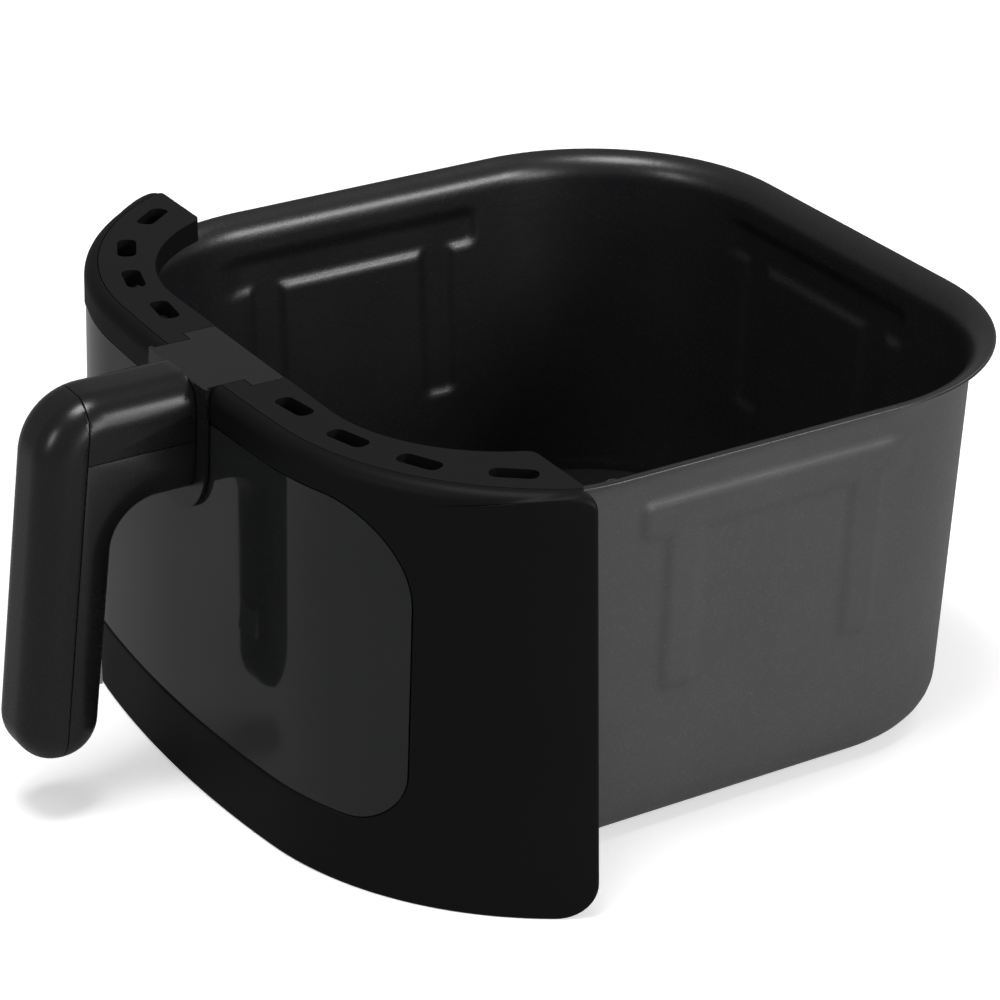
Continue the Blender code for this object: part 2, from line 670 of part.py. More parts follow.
def build_top_frame(drawer, tongue_way):
    """A channel moulding that sits over the pan's front rim, with slots in its top."""
    low = PAN_HEIGHT - FRAME_SKIRT
    blank = extruded("top_frame", [cover_outline(FRAME_EDGE, COVER_HEIGHT)], low, FRAME_TOP)
    frame = piece("top_frame", blank, matte_black(), drawer)
    combine(frame, before_back_edge("frame_end", FIT_GAP, drawer), "INTERSECT")
    overhang = RIM_INNER_RADIUS + FRAME_OVERHANG
    inside = extruded("frame_inside", [rim_outline(overhang)], low - CUT_OVER, FRAME_TOP + CUT_OVER)
    combine(frame, cutter("frame_inside", inside, drawer))
    channel_outer = cover_outline(FRAME_EDGE + FRAME_WALL, COVER_HEIGHT)
    channel = extruded("frame_channel", [channel_outer], low - CUT_OVER, FRAME_TOP - FRAME_WALL)
    channel = cutter("frame_channel", channel, drawer)
    combine(channel, before_back_edge("channel_end", FRAME_WALL, drawer), "INTERSECT")
    core = [rim_outline(overhang - FRAME_WALL)]
    core = extruded("frame_core", core, low - 2 * CUT_OVER, FRAME_TOP + CUT_OVER)
    combine(channel, cutter("frame_core", core, drawer))
    combine(frame, channel)
    rim_way = extruded("rim_way", [rim_outline(-2 * FIT_GAP)], low - CUT_OVER, PAN_HEIGHT + FIT_GAP)
    combine(frame, cutter("rim_way", rim_way, drawer))
    for index, (in_x, in_y, turn) in enumerate(SLOTS_INSIDE_RIM):
        for side in (-1, 1):
            name = f"frame_slot_{index}_{'left' if side < 0 else 'right'}"
            half = SLOT_WIDTH / 2
            outline = rounded(SLOT_LENGTH / 2, -half, half, half * NEARLY_ROUND, half * NEARLY_ROUND, 3)
            mesh = extruded(name, [outline], FRAME_TOP - 2 * FRAME_WALL, FRAME_TOP + CUT_OVER)
            mesh.transform(Matrix.Rotation(math.radians(side * turn), 4, "Z"))
            place = (side * (PAN_WIDTH / 2 - in_x), in_y - PAN_DEPTH / 2, 0.0)
            combine(frame, cutter(name, mesh, drawer, place))
    combine(frame, tongue_way)
    return frame


# ---- handle ---------------------------------------------------------------------------------------

def grip_front(height):
    """y of the grip's outer face at a height."""
    share = (height - (PAN_HEIGHT - GRIP_DROP)) / (GRIP_DROP + NECK_TOP)
    return -HANDLE_REACH + GRIP_TILT * share


def behind_grip(depth, height):
    """A point at a height, square behind the grip's outer face by depth."""
    return (grip_front(height) + depth / math.cos(GRIP_LEAN), height)


def handle_outline(inset):
    """The handle from the side, moved inwards: a neck out of the front, and a grip that hangs from it."""
    top = PAN_HEIGHT + NECK_TOP
    foot = PAN_HEIGHT - GRIP_DROP
    tilt = math.degrees(GRIP_LEAN)
    root = front_at(0.0) + 4 * HANDLE_EDGE
    outer = GRIP_OUTER_RADIUS
    sole = GRIP_FOOT_RADIUS
    fillet = NECK_FILLET
    points = [(root, NECK_UNDER + inset), (root, top - inset)]
    points += arc(behind_grip(outer, top - outer), outer - inset, 90, 180 - tilt, 7)
    points += arc(behind_grip(sole, foot + sole), sole - inset, 180 - tilt, 270, 5)
    points += arc(behind_grip(GRIP_THICKNESS - sole, foot + sole), sole - inset, 270, 360 - tilt, 5)
    hollow = behind_grip(GRIP_THICKNESS + fillet, NECK_UNDER - fillet)
    points += arc(hollow, fillet + inset, 180 - tilt, 90, 6)
    return points


def handle_body(name):
    """The whole handle before it is parted: its side outline swept across, drawn in towards both sides."""
    flat = HANDLE_WIDTH / 2 - HANDLE_EDGE
    turns = [math.radians(90 * i / FILLET_STEPS) for i in range(FILLET_STEPS + 1)]
    sides = [(flat + HANDLE_EDGE * math.sin(a), HANDLE_EDGE * (1 - math.cos(a))) for a in turns]
    rings = [[(-x, y, z) for y, z in handle_outline(inset)] for x, inset in reversed(sides)]
    rings += [[(x, y, z) for y, z in handle_outline(inset)] for x, inset in sides]
    return lofted(name, rings)


def seam_planes():
    """Side outlines of the three regions that the handle is parted into."""
    far = -HANDLE_REACH - SEAM_REACH_OUT
    top = PAN_HEIGHT + NECK_TOP + SEAM_REACH_OUT
    foot = PAN_HEIGHT - GRIP_DROP - SEAM_REACH_OUT
    split_z = PAN_HEIGHT + NECK_TOP - NECK_COVER_DEPTH

    def near(height):
        return front_at(height) - 2 * FIT_GAP - BIB_THICKNESS

    def seam(height):
        return grip_front(height) + GRIP_COVER_DEPTH

    gap = FIT_GAP / 2
    above = split_z + gap
    below = split_z - gap
    grip = [(far, foot), (seam(foot) - gap, foot), (seam(top) - gap, top), (far, top)]
    neck = [(seam(above) + gap, above), (near(above), above), (near(top), top), (seam(top) + gap, top)]
    core = [(seam(foot) + gap, foot), (near(foot), foot), (near(below), below), (seam(below) + gap, below)]
    return {"grip_cover": grip, "neck_cover": neck, "handle_core": core}


def build_handle(drawer):
    pieces = {}
    for name, region in seam_planes().items():
        made = piece(name, handle_body(name), satin_black(), drawer)
        mesh = facing_side(f"{name}_region", [region], HANDLE_WIDTH)
        combine(made, cutter(f"{name}_region", mesh, drawer), "INTERSECT")
        pieces[name] = made
    build_spine(drawer, pieces["handle_core"])
    pocket_half = HANDLE_WIDTH / 2 - GRIP_POCKET_SIDE
    pocket_low = PAN_HEIGHT - GRIP_DROP + GRIP_POCKET_END
    pocket_high = PAN_HEIGHT + NECK_TOP - GRIP_POCKET_END
    pocket = block(
        "grip_pocket",
        (-pocket_half, grip_front(pocket_high) + GRIP_POCKET_FRONT, pocket_low),
        (pocket_half, grip_front(pocket_high) + GRIP_COVER_DEPTH + CUT_OVER, pocket_high),
    )
    combine(pieces["grip_cover"], cutter("grip_pocket", pocket, drawer))
    return pieces["handle_core"]


def build_spine(drawer, core):
    """The bent steel bar that stiffens the handle's core, and its way in the core."""
    top = PAN_HEIGHT + NECK_TOP - NECK_COVER_DEPTH - FIT_GAP
    foot = PAN_HEIGHT - GRIP_DROP + SPINE_FOOT
    front = grip_front(top) + GRIP_COVER_DEPTH + SPINE_BEHIND_SEAM
    root = front_at(top) - FIT_GAP - BIB_THICKNESS - SPINE_THICKNESS

    def outline(grow):
        high = top + (CUT_OVER if grow else 0.0)
        back = front + SPINE_THICKNESS
        low = top - SPINE_THICKNESS - grow
        leg = [(front - grow, foot - grow), (back + grow, foot - grow), (back + grow, low)]
        return leg + [(root + grow, low), (root + grow, high), (front - grow, high)]

    spine = facing_side("handle_spine", [outline(0.0)], SPINE_WIDTH / 2)
    piece("handle_spine", spine, bare_steel(), drawer)
    channel = facing_side("spine_way", [outline(FIT_GAP)], SPINE_WIDTH / 2 + FIT_GAP)
    combine(core, cutter("spine_way", channel, drawer))


def bib_outline(grow):
    top = COVER_HEIGHT + grow
    low = NECK_UNDER - BIB_BELOW_NECK - grow
    half = BIB_HALF_WIDTH + grow
    return rounded(half, low, top, half * NEARLY_ROUND, BIB_TOP_RADIUS, 8)


def build_root(drawer, holes):
    """The root plate: a bib on the front's face and a tongue over its shoulder into the top frame."""
    tongue_low = PAN_HEIGHT + 2 * FIT_GAP
    tongue = tongue_body("root_plate", 0.0, tongue_low, FRAME_TOP)
    root = piece("root_plate", tongue, satin_black(), drawer)
    bib = front_body("bib_shape", -FIT_GAP - BIB_THICKNESS, -CUT_OVER, COVER_HEIGHT + CUT_OVER)
    bib = cutter("bib_shape", bib, drawer)
    combine(bib, front_cutter("bib_edge", bib_outline(0.0), drawer), "INTERSECT")
    behind = front_body("bib_behind", -FIT_GAP, -2 * CUT_OVER, COVER_HEIGHT + 2 * CUT_OVER)
    combine(bib, cutter("bib_behind", behind, drawer))
    combine(root, bib, "UNION")
    for hole in holes:
        combine(root, hole)
    return root


def build_fixings(drawer, pan, cover, liner, core):
    """The steel bracket on the pan, its rivets, and the two long bolts that carry the handle."""
    middle = PAN_HEIGHT - BOLT_BELOW_RIM
    low = middle - BRACKET_HEIGHT / 2
    high = min(middle + BRACKET_HEIGHT / 2, WALL_TOP)
    sheet = BRACKET_SHEET
    back = -(PAN_DEPTH / 2 - wall_inset(high)) - FIT_GAP
    flange = front_at(high) + LINER_INSET + LINER_WALL + FIT_GAP
    foot = block("handle_bracket", (-BRACKET_WIDTH / 2, back - sheet, low), (BRACKET_WIDTH / 2, back, high))
    bracket = piece("handle_bracket", foot, bare_steel(), drawer)
    arm_half = BRACKET_ARM_WIDTH / 2
    arm_low = low + BRACKET_ARM_SHORTER
    arm_high = high - BRACKET_ARM_SHORTER
    inner = arm_half - sheet
    behind = back - sheet / 2
    for name, corner_low, corner_high in (
        ("bracket_arm_left", (-arm_half, flange, arm_low), (-inner, behind, arm_high)),
        ("bracket_arm_right", (inner, flange, arm_low), (arm_half, behind, arm_high)),
        ("bracket_flange", (-arm_half, flange, arm_low), (arm_half, flange + sheet, arm_high)),
    ):
        combine(bracket, cutter(name, block(name, corner_low, corner_high), drawer), "UNION")
    holes = []
    head_y = flange + sheet + FIT_GAP
    for side, x in (("left", -BOLT_SPREAD), ("right", BOLT_SPREAD)):
        name = f"handle_bolt_{side}"
        profile = [
            (0, BOLT_LENGTH),
            (BOLT_RADIUS, BOLT_LENGTH),
            (BOLT_RADIUS, 0),
            (BOLT_HEAD_RADIUS, 0),
            (BOLT_HEAD_RADIUS, -BOLT_HEAD_HEIGHT),
            (0, -BOLT_HEAD_HEIGHT),
        ]
        place = (x, head_y, middle)
        piece(name, turned(name, profile, 12, "Y"), bare_steel(), drawer, place)
        hole = drill(f"{name}_way", BOLT_RADIUS + FIT_GAP, 0, BOLT_LENGTH + BOLT_TIP_ROOM, drawer, place)
        holes.append(hole)
        for part in (bracket, cover, liner, core):
            combine(part, hole)
    for side, x in (("left", -1), ("right", 1)):
        for level, z in (("low", low + RIVET_END_ROOM), ("high", high - RIVET_END_ROOM)):
            name = f"bracket_rivet_{side}_{level}"
            tail = -(PAN_DEPTH / 2 - wall_inset(z)) + PAN_SHEET + FIT_GAP
            place = (x * (BRACKET_WIDTH / 2 - RIVET_EDGE_ROOM), tail, z)
            grip = tail - back + sheet + FIT_GAP
            shank = RIVET_RADIUS
            wide = RIVET_HEAD_RADIUS
            profile = [
                (0, grip + RIVET_HEAD_HEIGHT),
                (wide * 0.7, grip + RIVET_HEAD_HEIGHT * 0.85),
                (wide, grip),
                (shank, grip),
                (shank, 0),
                (wide, 0),
                (wide, -RIVET_TAIL_HEIGHT / 2),
                (0, -RIVET_TAIL_HEIGHT),
            ]
            piece(name, turned(name, profile, 12, "Y"), bare_steel(), drawer, place)
            hole = drill(f"{name}_way", shank + FIT_GAP, -CUT_OVER, grip + CUT_OVER, drawer, place)
            combine(pan, hole)
            combine(bracket, hole)
    return holes


# ---- crisper plate --------------------------------------------------------------------------------

def build_crisper(drawer):
    """A perforated plate with a turned-down lip, on four silicone feet that steady it in the corners."""
    lift = datum("crisper_lift", (0.0, 0.0, PAN_SHEET), 0.0, drawer)
    inset = wall_inset(PLATE_HEIGHT) + PAN_SHEET + PLATE_CLEARANCE
    plate = extruded("crisper_plate", [rim_outline(inset)], PLATE_HEIGHT - PLATE_LIP, PLATE_HEIGHT)
    plate = piece("crisper_plate", plate, coated_steel(), lift)
    under = [rim_outline(inset + PLATE_SHEET)]
    under = extruded("plate_under", under, -CUT_OVER, PLATE_HEIGHT - PLATE_SHEET)
    combine(plate, cutter("plate_under", under, lift))
    radius = PLATE_HOLE_RADIUS
    above = PLATE_HEIGHT + CUT_OVER
    columns = int((PAN_WIDTH / 2 - inset - radius) // PLATE_HOLE_PITCH)
    rows = int((PAN_DEPTH / 2 - inset - radius) // PLATE_HOLE_PITCH)
    for row in range(-rows, rows + 1):
        for column in range(-columns, columns + 1):
            x = column * PLATE_HOLE_PITCH
            y = row * PLATE_HOLE_PITCH
            if abs(row) + abs(column) > rows + columns - 2:
                continue
            name = f"plate_hole_{row + rows}_{column + columns}"
            profile = [(0, above), (radius, above), (radius, CUT_OVER), (0, CUT_OVER)]
            combine(plate, cutter(name, turned(name, profile, 8), lift, (x, y, 0)))
    flat_inset = wall_inset(PAN_BASE_RADIUS) + PAN_BASE_RADIUS
    reach_in_corner = (PAN_CORNER - flat_inset - FOOT_RADIUS - 3 * FIT_GAP) * math.sqrt(0.5)
    out_x = PAN_WIDTH / 2 - PAN_CORNER + reach_in_corner
    out_y = PAN_DEPTH / 2 - PAN_CORNER + reach_in_corner
    for side, sx in (("left", -1), ("right", 1)):
        for end, sy in (("front", -1), ("back", 1)):
            name = f"crisper_foot_{side}_{end}"
            low = FIT_GAP
            top = PLATE_HEIGHT - PLATE_SHEET - FIT_GAP
            above = PLATE_HEIGHT + FIT_GAP
            profile = [
                (0, above + FOOT_BUTTON_HEIGHT),
                (FOOT_RADIUS * 0.8, above + FOOT_BUTTON_HEIGHT),
                (FOOT_RADIUS * 0.9, above),
                (FOOT_PEG_RADIUS, above),
                (FOOT_PEG_RADIUS, top),
                (FOOT_RADIUS, top),
                (FOOT_RADIUS, low),
                (0, low),
            ]
            place = (sx * out_x, sy * out_y, 0)
            piece(name, turned(name, profile, 12), silicone(), lift, place)
            peg = FOOT_PEG_RADIUS + FIT_GAP
            ends = (above + CUT_OVER, top - CUT_OVER)
            hole = [(0, ends[0]), (peg, ends[0]), (peg, ends[1]), (0, ends[1])]
            combine(plate, cutter(f"{name}_way", turned(f"{name}_way", hole, 12), lift, place))


def main():
    clear_scene()
    drawer = datum("drawer_datum", (0.0, PAN_CENTRE_Y, 0.0))
    wall_y = -(PAN_DEPTH / 2 - wall_inset(INNER_OPENING_MIDDLE))
    front_wall = datum("front_wall_datum", (0.0, wall_y, INNER_OPENING_MIDDLE), WALL_TILT, drawer)
    pan = build_pan(drawer, front_wall)
    build_inner_window(front_wall)
    cover, liner, tongue_way = build_front(drawer)
    build_top_frame(drawer, tongue_way)
    core = build_handle(drawer)
    holes = build_fixings(drawer, pan, cover, liner, core)
    build_root(drawer, holes)
    build_crisper(drawer)


main()
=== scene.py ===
"""Dresses the removable drawer of a basket air fryer for a plain studio picture.

Each sub-assembly is a class that holds its sizes, in metres, and knows how to build and finish its pieces.
Plans and profiles are drawn about the pan's own centre line, with z = 0 under the pan and the front towards
-Y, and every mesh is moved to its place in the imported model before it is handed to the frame.
"""

import logging
import math
from collections.abc import Iterable, Sequence
from dataclasses import dataclass, field
from enum import Enum

import bmesh
import bpy
from mathutils import Matrix, Vector


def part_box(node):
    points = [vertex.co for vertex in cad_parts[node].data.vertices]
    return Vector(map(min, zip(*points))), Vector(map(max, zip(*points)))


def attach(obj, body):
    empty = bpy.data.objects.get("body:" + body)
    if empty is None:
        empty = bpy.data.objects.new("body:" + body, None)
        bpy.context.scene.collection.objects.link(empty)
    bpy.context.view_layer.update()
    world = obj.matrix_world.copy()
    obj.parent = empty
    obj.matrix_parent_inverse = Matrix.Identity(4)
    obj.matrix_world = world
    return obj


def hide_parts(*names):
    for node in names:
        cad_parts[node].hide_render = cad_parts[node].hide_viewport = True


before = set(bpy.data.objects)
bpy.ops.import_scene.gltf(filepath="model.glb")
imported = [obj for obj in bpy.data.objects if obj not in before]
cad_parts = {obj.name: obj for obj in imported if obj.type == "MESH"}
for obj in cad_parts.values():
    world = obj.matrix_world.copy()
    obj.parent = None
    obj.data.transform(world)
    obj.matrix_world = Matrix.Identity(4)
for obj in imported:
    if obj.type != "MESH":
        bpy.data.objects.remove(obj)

LOG = logging.getLogger("drawer")
PAN_CENTRE_Y = 0.03875
GAP = 0.0003  # the running gap between neighbours
THROUGH = 0.004  # how far a cutter runs past what it cuts
BIB_LAP = 0.002  # how far the root plate's bib laps over the tab behind it

Flat = tuple[float, float]
Profile = list[Flat]
Grid = list[list[Vector]]


class Body(Enum):
    """The two bodies that pieces ride on."""

    DRAWER = "drawer"
    CRISPER = "crisper"


class Task(Enum):
    """What the Geometry Nodes tree does with the solid that it copies."""

    COPY = "copied_pieces"
    PUNCH = "punched_holes"


class Slot(Enum):
    """The record's material slots."""

    COATING = "nonstick_coating"
    MATTE = "matte_black_plastic"
    SATIN = "satin_black_plastic"
    SMOKED = "smoked_glass"
    CLEAR = "clear_glass"
    SILICONE = "grey_silicone"
    STEEL = "bare_steel"


# ---- shader maths ---------------------------------------------------------------------------------


class Tone:
    """A shader socket that Python's operators work on, so that a pattern reads as an expression."""

    def __init__(self, paint: "Paint", socket: bpy.types.NodeSocket) -> None:
        """Wraps a socket of a paint's tree."""
        self.paint = paint
        self.socket = socket

    def _maths(self, operation: str, first: "Tone | float", second: "Tone | float") -> "Tone":
        """Adds one Math node.

        Args:
            operation: the Math node's operation.
            first: its first value.
            second: its second value.

        Returns:
            The node's result.
        """
        return self.paint.node("ShaderNodeMath", {"operation": operation}, {0: first, 1: second})

    def __add__(self, other: "Tone | float") -> "Tone":
        """The sum of two values."""
        return self._maths("ADD", self, other)

    __radd__ = __add__

    def __sub__(self, other: "Tone | float") -> "Tone":
        """This value less the other."""
        return self._maths("SUBTRACT", self, other)

    def __rsub__(self, other: float) -> "Tone":
        """The other value less this one."""
        return self._maths("SUBTRACT", other, self)

    def __mul__(self, other: "Tone | float") -> "Tone":
        """The product of two values."""
        return self._maths("MULTIPLY", self, other)

    __rmul__ = __mul__

    def __gt__(self, other: "Tone | float") -> "Tone":
        """1 where this value is the larger, else 0."""
        return self._maths("GREATER_THAN", self, other)

    def ramp(self, low: float, high: float) -> "Tone":
        """Eases from 0 at low to 1 at high.

        Args:
            low: the value that gives 0.
            high: the value that gives 1.

        Returns:
            The eased value.
        """
        settings = {"interpolation_type": "SMOOTHSTEP"}
        return self.paint.node("ShaderNodeMapRange", settings, {0: self, 1: low, 2: high})


class Paint:
    """One material's node tree, with one method for every kind of node."""

    def __init__(self, name: str) -> None:
        """Starts a material with a Principled shader.

        Args:
            name: the material's name.
        """
        self.material = bpy.data.materials.new(name)
        self.material.use_nodes = True
        self.tree = self.material.node_tree
        self.shader = self.tree.nodes["Principled BSDF"]
        self.place = self.node("ShaderNodeTexCoord", {}, {}, "Object")

    def node(self, kind: str, settings: dict, values: dict, output: int | str = 0) -> Tone:
        """Adds a node.

        Args:
            kind: the node's type.
            settings: what is set on the node itself, before its sockets.
            values: what its sockets take, by name or place: a number, a colour or a Tone.
            output: the name or place of the output that is wanted.

        Returns:
            That output.
        """
        made = self.tree.nodes.new(kind)
        for key, value in settings.items():
            setattr(made, key, value)
        for key, value in values.items():
            self.feed(made.inputs[key], value)
        return Tone(self, made.outputs[output])

    def feed(self, socket: bpy.types.NodeSocket, value: "Tone | float | Sequence[float]") -> None:
        """Links a Tone to a socket, or sets the socket to a plain value.

        Args:
            socket: the input that is fed.
            value: what it takes.
        """
        if isinstance(value, Tone):
            self.tree.links.new(value.socket, socket)
        else:
            socket.default_value = value

    def surface(self, values: dict[str, "Tone | float | Sequence[float]"]) -> None:
        """Sets the Principled shader's sockets by name."""
        for key, value in values.items():
            self.feed(self.shader.inputs[key], value)

    def stretched(self, scale: Sequence[float]) -> Tone:
        """Object coordinates with their own scale along each axis."""
        return self.node("ShaderNodeMapping", {}, {"Vector": self.place, "Scale": scale})

    def clouds(self, size: float, detail: float = 2.0, where: Tone | None = None) -> Tone:
        """Soft noise.

        Args:
            size: the size of a patch, in metres.
            detail: how many finer layers it has.
            where: the coordinates that it reads, or the object's own.

        Returns:
            A value from 0 to 1.
        """
        values = {"Vector": where or self.place, "Scale": 1 / size, "Detail": detail}
        return self.node("ShaderNodeTexNoise", {}, values)

    def specks(self, size: float, share: float) -> Tone:
        """Small round flecks.

        Args:
            size: how far apart the flecks lie, in metres.
            share: how much of a cell a fleck fills.

        Returns:
            1 in a fleck, fading to 0 round it.
        """
        values = {"Vector": self.place, "Scale": 1 / size}
        distance = self.node("ShaderNodeTexVoronoi", {}, values, "Distance")
        return 1 - distance.ramp(share * 0.5, share)

    def blend(self, share: Tone, dark: Sequence[float], light: Sequence[float]) -> Tone:
        """A colour between two, by a share from 0 to 1."""
        values = {0: share, 6: (*dark, 1.0), 7: (*light, 1.0)}
        return self.node("ShaderNodeMix", {"data_type": "RGBA"}, values, 2)

    def relief(self, height: Tone, depth: float, strength: float = 1.0) -> Tone:
        """A normal from a height pattern that is depth metres deep."""
        values = {"Strength": strength, "Distance": depth, "Height": height}
        return self.node("ShaderNodeBump", {}, values)


# ---- finishes -------------------------------------------------------------------------------------


@dataclass(frozen=True)
class Coating:
    """Sprayed nonstick coating: a satin ground with fine flecks and a faint orange peel."""

    name: str
    ground: tuple[float, float, float]
    fleck: tuple[float, float, float]
    roughness: float
    metallic: float
    fleck_pitch: float = 0.0008
    peel: float = 0.0022

    def build(self) -> bpy.types.Material:
        """Builds the material.

        Returns:
            The coating.
        """
        paint = Paint(self.name)
        flecks = paint.specks(self.fleck_pitch, 0.34) * (paint.clouds(0.004) > 0.47)
        mottle = paint.clouds(0.03, 3.0)
        peel = paint.clouds(self.peel, 1.0)
        ground = paint.blend(mottle, [c * 0.9 for c in self.ground], [c * 1.12 for c in self.ground])
        values = {0: flecks * 0.45, 6: ground, 7: (*self.fleck, 1.0)}
        colour = paint.node("ShaderNodeMix", {"data_type": "RGBA"}, values, 2)
        paint.surface(
            {
                "Base Color": colour,
                "Roughness": self.roughness + 0.07 * mottle - 0.08 * flecks,
                "Metallic": self.metallic,
                "Normal": paint.relief(peel + 0.4 * flecks, 0.00004),
            }
        )
        return paint.material


@dataclass(frozen=True)
class Moulding:
    """Moulded plastic with an even spark-eroded grain."""

    name: str
    colour: tuple[float, float, float]
    roughness: float
    grain: float
    grain_depth: float
    specular: float = 0.4

    def build(self) -> bpy.types.Material:
        """Builds the material.

        Returns:
            The plastic.
        """
        paint = Paint(self.name)
        grain = paint.clouds(self.grain, 3.0)
        drift = paint.clouds(0.045, 2.0)
        dark = [c * 0.82 for c in self.colour]
        light = [c * 1.2 for c in self.colour]
        paint.surface(
            {
                "Base Color": paint.blend(0.7 * drift + 0.3 * grain, dark, light),
                "Roughness": self.roughness - 0.04 + 0.08 * drift + 0.05 * grain,
                "Specular IOR Level": self.specular,
                "Normal": paint.relief(grain, self.grain_depth),
            }
        )
        return paint.material


@dataclass(frozen=True)
class Glass:
    """Toughened glass with its tint, a faint unevenness of roll and a light film of dust."""

    name: str
    tint: tuple[float, float, float]
    alpha: float
    roughness: float
    specular: float
    wave: float = 0.05

    def build(self) -> bpy.types.Material:
        """Builds the material.

        Returns:
            The glass.
        """
        paint = Paint(self.name)
        film = paint.clouds(0.03, 4.0)
        roll = paint.clouds(self.wave, 1.0)
        paint.surface(
            {
                "Base Color": paint.blend(film, [c * 0.9 for c in self.tint], [c * 1.12 for c in self.tint]),
                "Roughness": self.roughness + 0.05 * film.ramp(0.45, 0.8),
                "IOR": 1.52,
                "Specular IOR Level": self.specular,
                "Alpha": self.alpha,
                "Normal": paint.relief(roll, 0.0001, 0.4),
            }
        )
        return paint.material


@dataclass(frozen=True)
class Rubber:
    """Matte silicone with a soft bloom."""

    name: str
    colour: tuple[float, float, float]
    roughness: float

    def build(self) -> bpy.types.Material:
        """Builds the material.

        Returns:
            The silicone.
        """
        paint = Paint(self.name)
        bloom = paint.clouds(0.006, 3.0)
        light = [c * 1.5 for c in self.colour]
        paint.surface(
            {
                "Base Color": paint.blend(bloom.ramp(0.3, 0.8), self.colour, light),
                "Roughness": self.roughness + 0.1 * bloom,
                "Normal": paint.relief(paint.clouds(0.0007), 0.00003),
            }
        )
        return paint.material


@dataclass(frozen=True)
class Steel:
    """Bright steel with drawn lines along one axis."""

    name: str
    colour: tuple[float, float, float]
    roughness: float
    lines: tuple[float, float, float] = (60.0, 2500.0, 2500.0)

    def build(self) -> bpy.types.Material:
        """Builds the material.

        Returns:
            The steel.
        """
        paint = Paint(self.name)
        drawn = paint.node("ShaderNodeTexNoise", {}, {"Vector": paint.stretched(self.lines), "Scale": 1.0})
        stain = paint.clouds(0.012, 3.0)
        paint.surface(
            {
                "Base Color": paint.blend(stain, [c * 0.8 for c in self.colour], self.colour),
                "Metallic": 1.0,
                "Roughness": self.roughness + 0.16 * drawn + 0.06 * stain,
                "Normal": paint.relief(drawn, 0.00002),
            }
        )
        return paint.material


@dataclass
class FinishBook:
    """Every finish of the drawer, each built once."""

    recipes: dict[Slot | str, Coating | Moulding | Glass | Rubber | Steel] = field(
        default_factory=lambda: {
            Slot.COATING: Coating(
                "satin_grey_coating",
                ground=(0.050, 0.050, 0.052),
                fleck=(0.10, 0.10, 0.105),
                roughness=0.38,
                metallic=0.30,
            ),
            # A darker copy of the grey coating for the pan's inside and the crisper tray: painted shade for
            # the dim inside of the pan.
            "shaded_inner_coating": Coating(
                "near_black_coating",
                ground=(0.008, 0.008, 0.009),
                fleck=(0.026, 0.026, 0.028),
                roughness=0.30,
                metallic=0.1,
            ),
            Slot.MATTE: Moulding(
                "matte_black_moulding",
                (0.0027, 0.0027, 0.0028),
                roughness=0.48,
                grain=0.0009,
                grain_depth=0.00002,
                specular=0.09,
            ),
            Slot.SATIN: Moulding(
                "satin_black_moulding",
                (0.0050, 0.0050, 0.0053),
                roughness=0.24,
                grain=0.0014,
                grain_depth=0.000003,
                specular=0.32,
            ),
            # A copy of the matte black plastic toned for the frame: the plastic is real, and its colour and
            # sheen are partly painted light and shade.
            "frame_moulding": Moulding(
                "frame_black_moulding",
                (0.0038, 0.0038, 0.0040),
                roughness=0.44,
                grain=0.0009,
                grain_depth=0.00002,
                specular=0.12,
            ),
            Slot.SMOKED: Glass("smoked_window_glass", (0.0085, 0.0088, 0.0092), 0.97, 0.05, 0.30),
            Slot.CLEAR: Glass("clear_window_glass", (0.30, 0.34, 0.34), 0.35, 0.03, 0.5),
            Slot.SILICONE: Rubber("grey_silicone_rubber", (0.055, 0.055, 0.058), 0.62),
            Slot.STEEL: Steel("drawn_steel", (0.58, 0.58, 0.59), 0.22),
        }
    )
    made: dict[Slot | str, bpy.types.Material] = field(default_factory=dict)

    def get(self, key: Slot | str) -> bpy.types.Material:
        """Finds a finish, and builds it when it is first wanted.

        Args:
            key: a slot, or a finish's own name.

        Returns:
            The material.
        """
        if key not in self.made:
            self.made[key] = self.recipes[key].build()
        return self.made[key]


FINISHES = FinishBook()


# ---- meshes ---------------------------------------------------------------------------------------


def arc(centre: Flat, radius: float, start: float, end: float, steps: int) -> Profile:
    """Points along an arc.

    Args:
        centre: the arc's centre.
        radius: its radius.
        start: its first angle, in degrees anticlockwise from the first axis.
        end: its last angle.
        steps: how many steps it takes.

    Returns:
        The points, both ends included.
    """
    angles = [math.radians(start + (end - start) * i / steps) for i in range(steps + 1)]
    return [(centre[0] + radius * math.cos(a), centre[1] + radius * math.sin(a)) for a in angles]


def rounded(
    half: float, low: float, high: float, low_radius: float, high_radius: float, steps: int
) -> Profile:
    """A rectangle with rounded corners, anticlockwise from its right foot.

    Args:
        half: half its width.
        low: its lower edge.
        high: its upper edge.
        low_radius: the radius of its lower corners.
        high_radius: the radius of its upper corners.
        steps: how many steps a corner takes.

    Returns:
        The outline.
    """
    right = arc((half - low_radius, low + low_radius), low_radius, -90, 0, steps)
    right += arc((half - high_radius, high - high_radius), high_radius, 0, 90, steps)
    return right + [(-x, z) for x, z in reversed(right)]


def along(start: Flat, end: Flat, steps: int) -> Profile:
    """Evenly spaced points of a straight stretch, without its end.

    Args:
        start: its first point.
        end: where it ends.
        steps: how many steps it takes.

    Returns:
        The points.
    """
    return [
        (start[0] + (end[0] - start[0]) * i / steps, start[1] + (end[1] - start[1]) * i / steps)
        for i in range(steps)
    ]


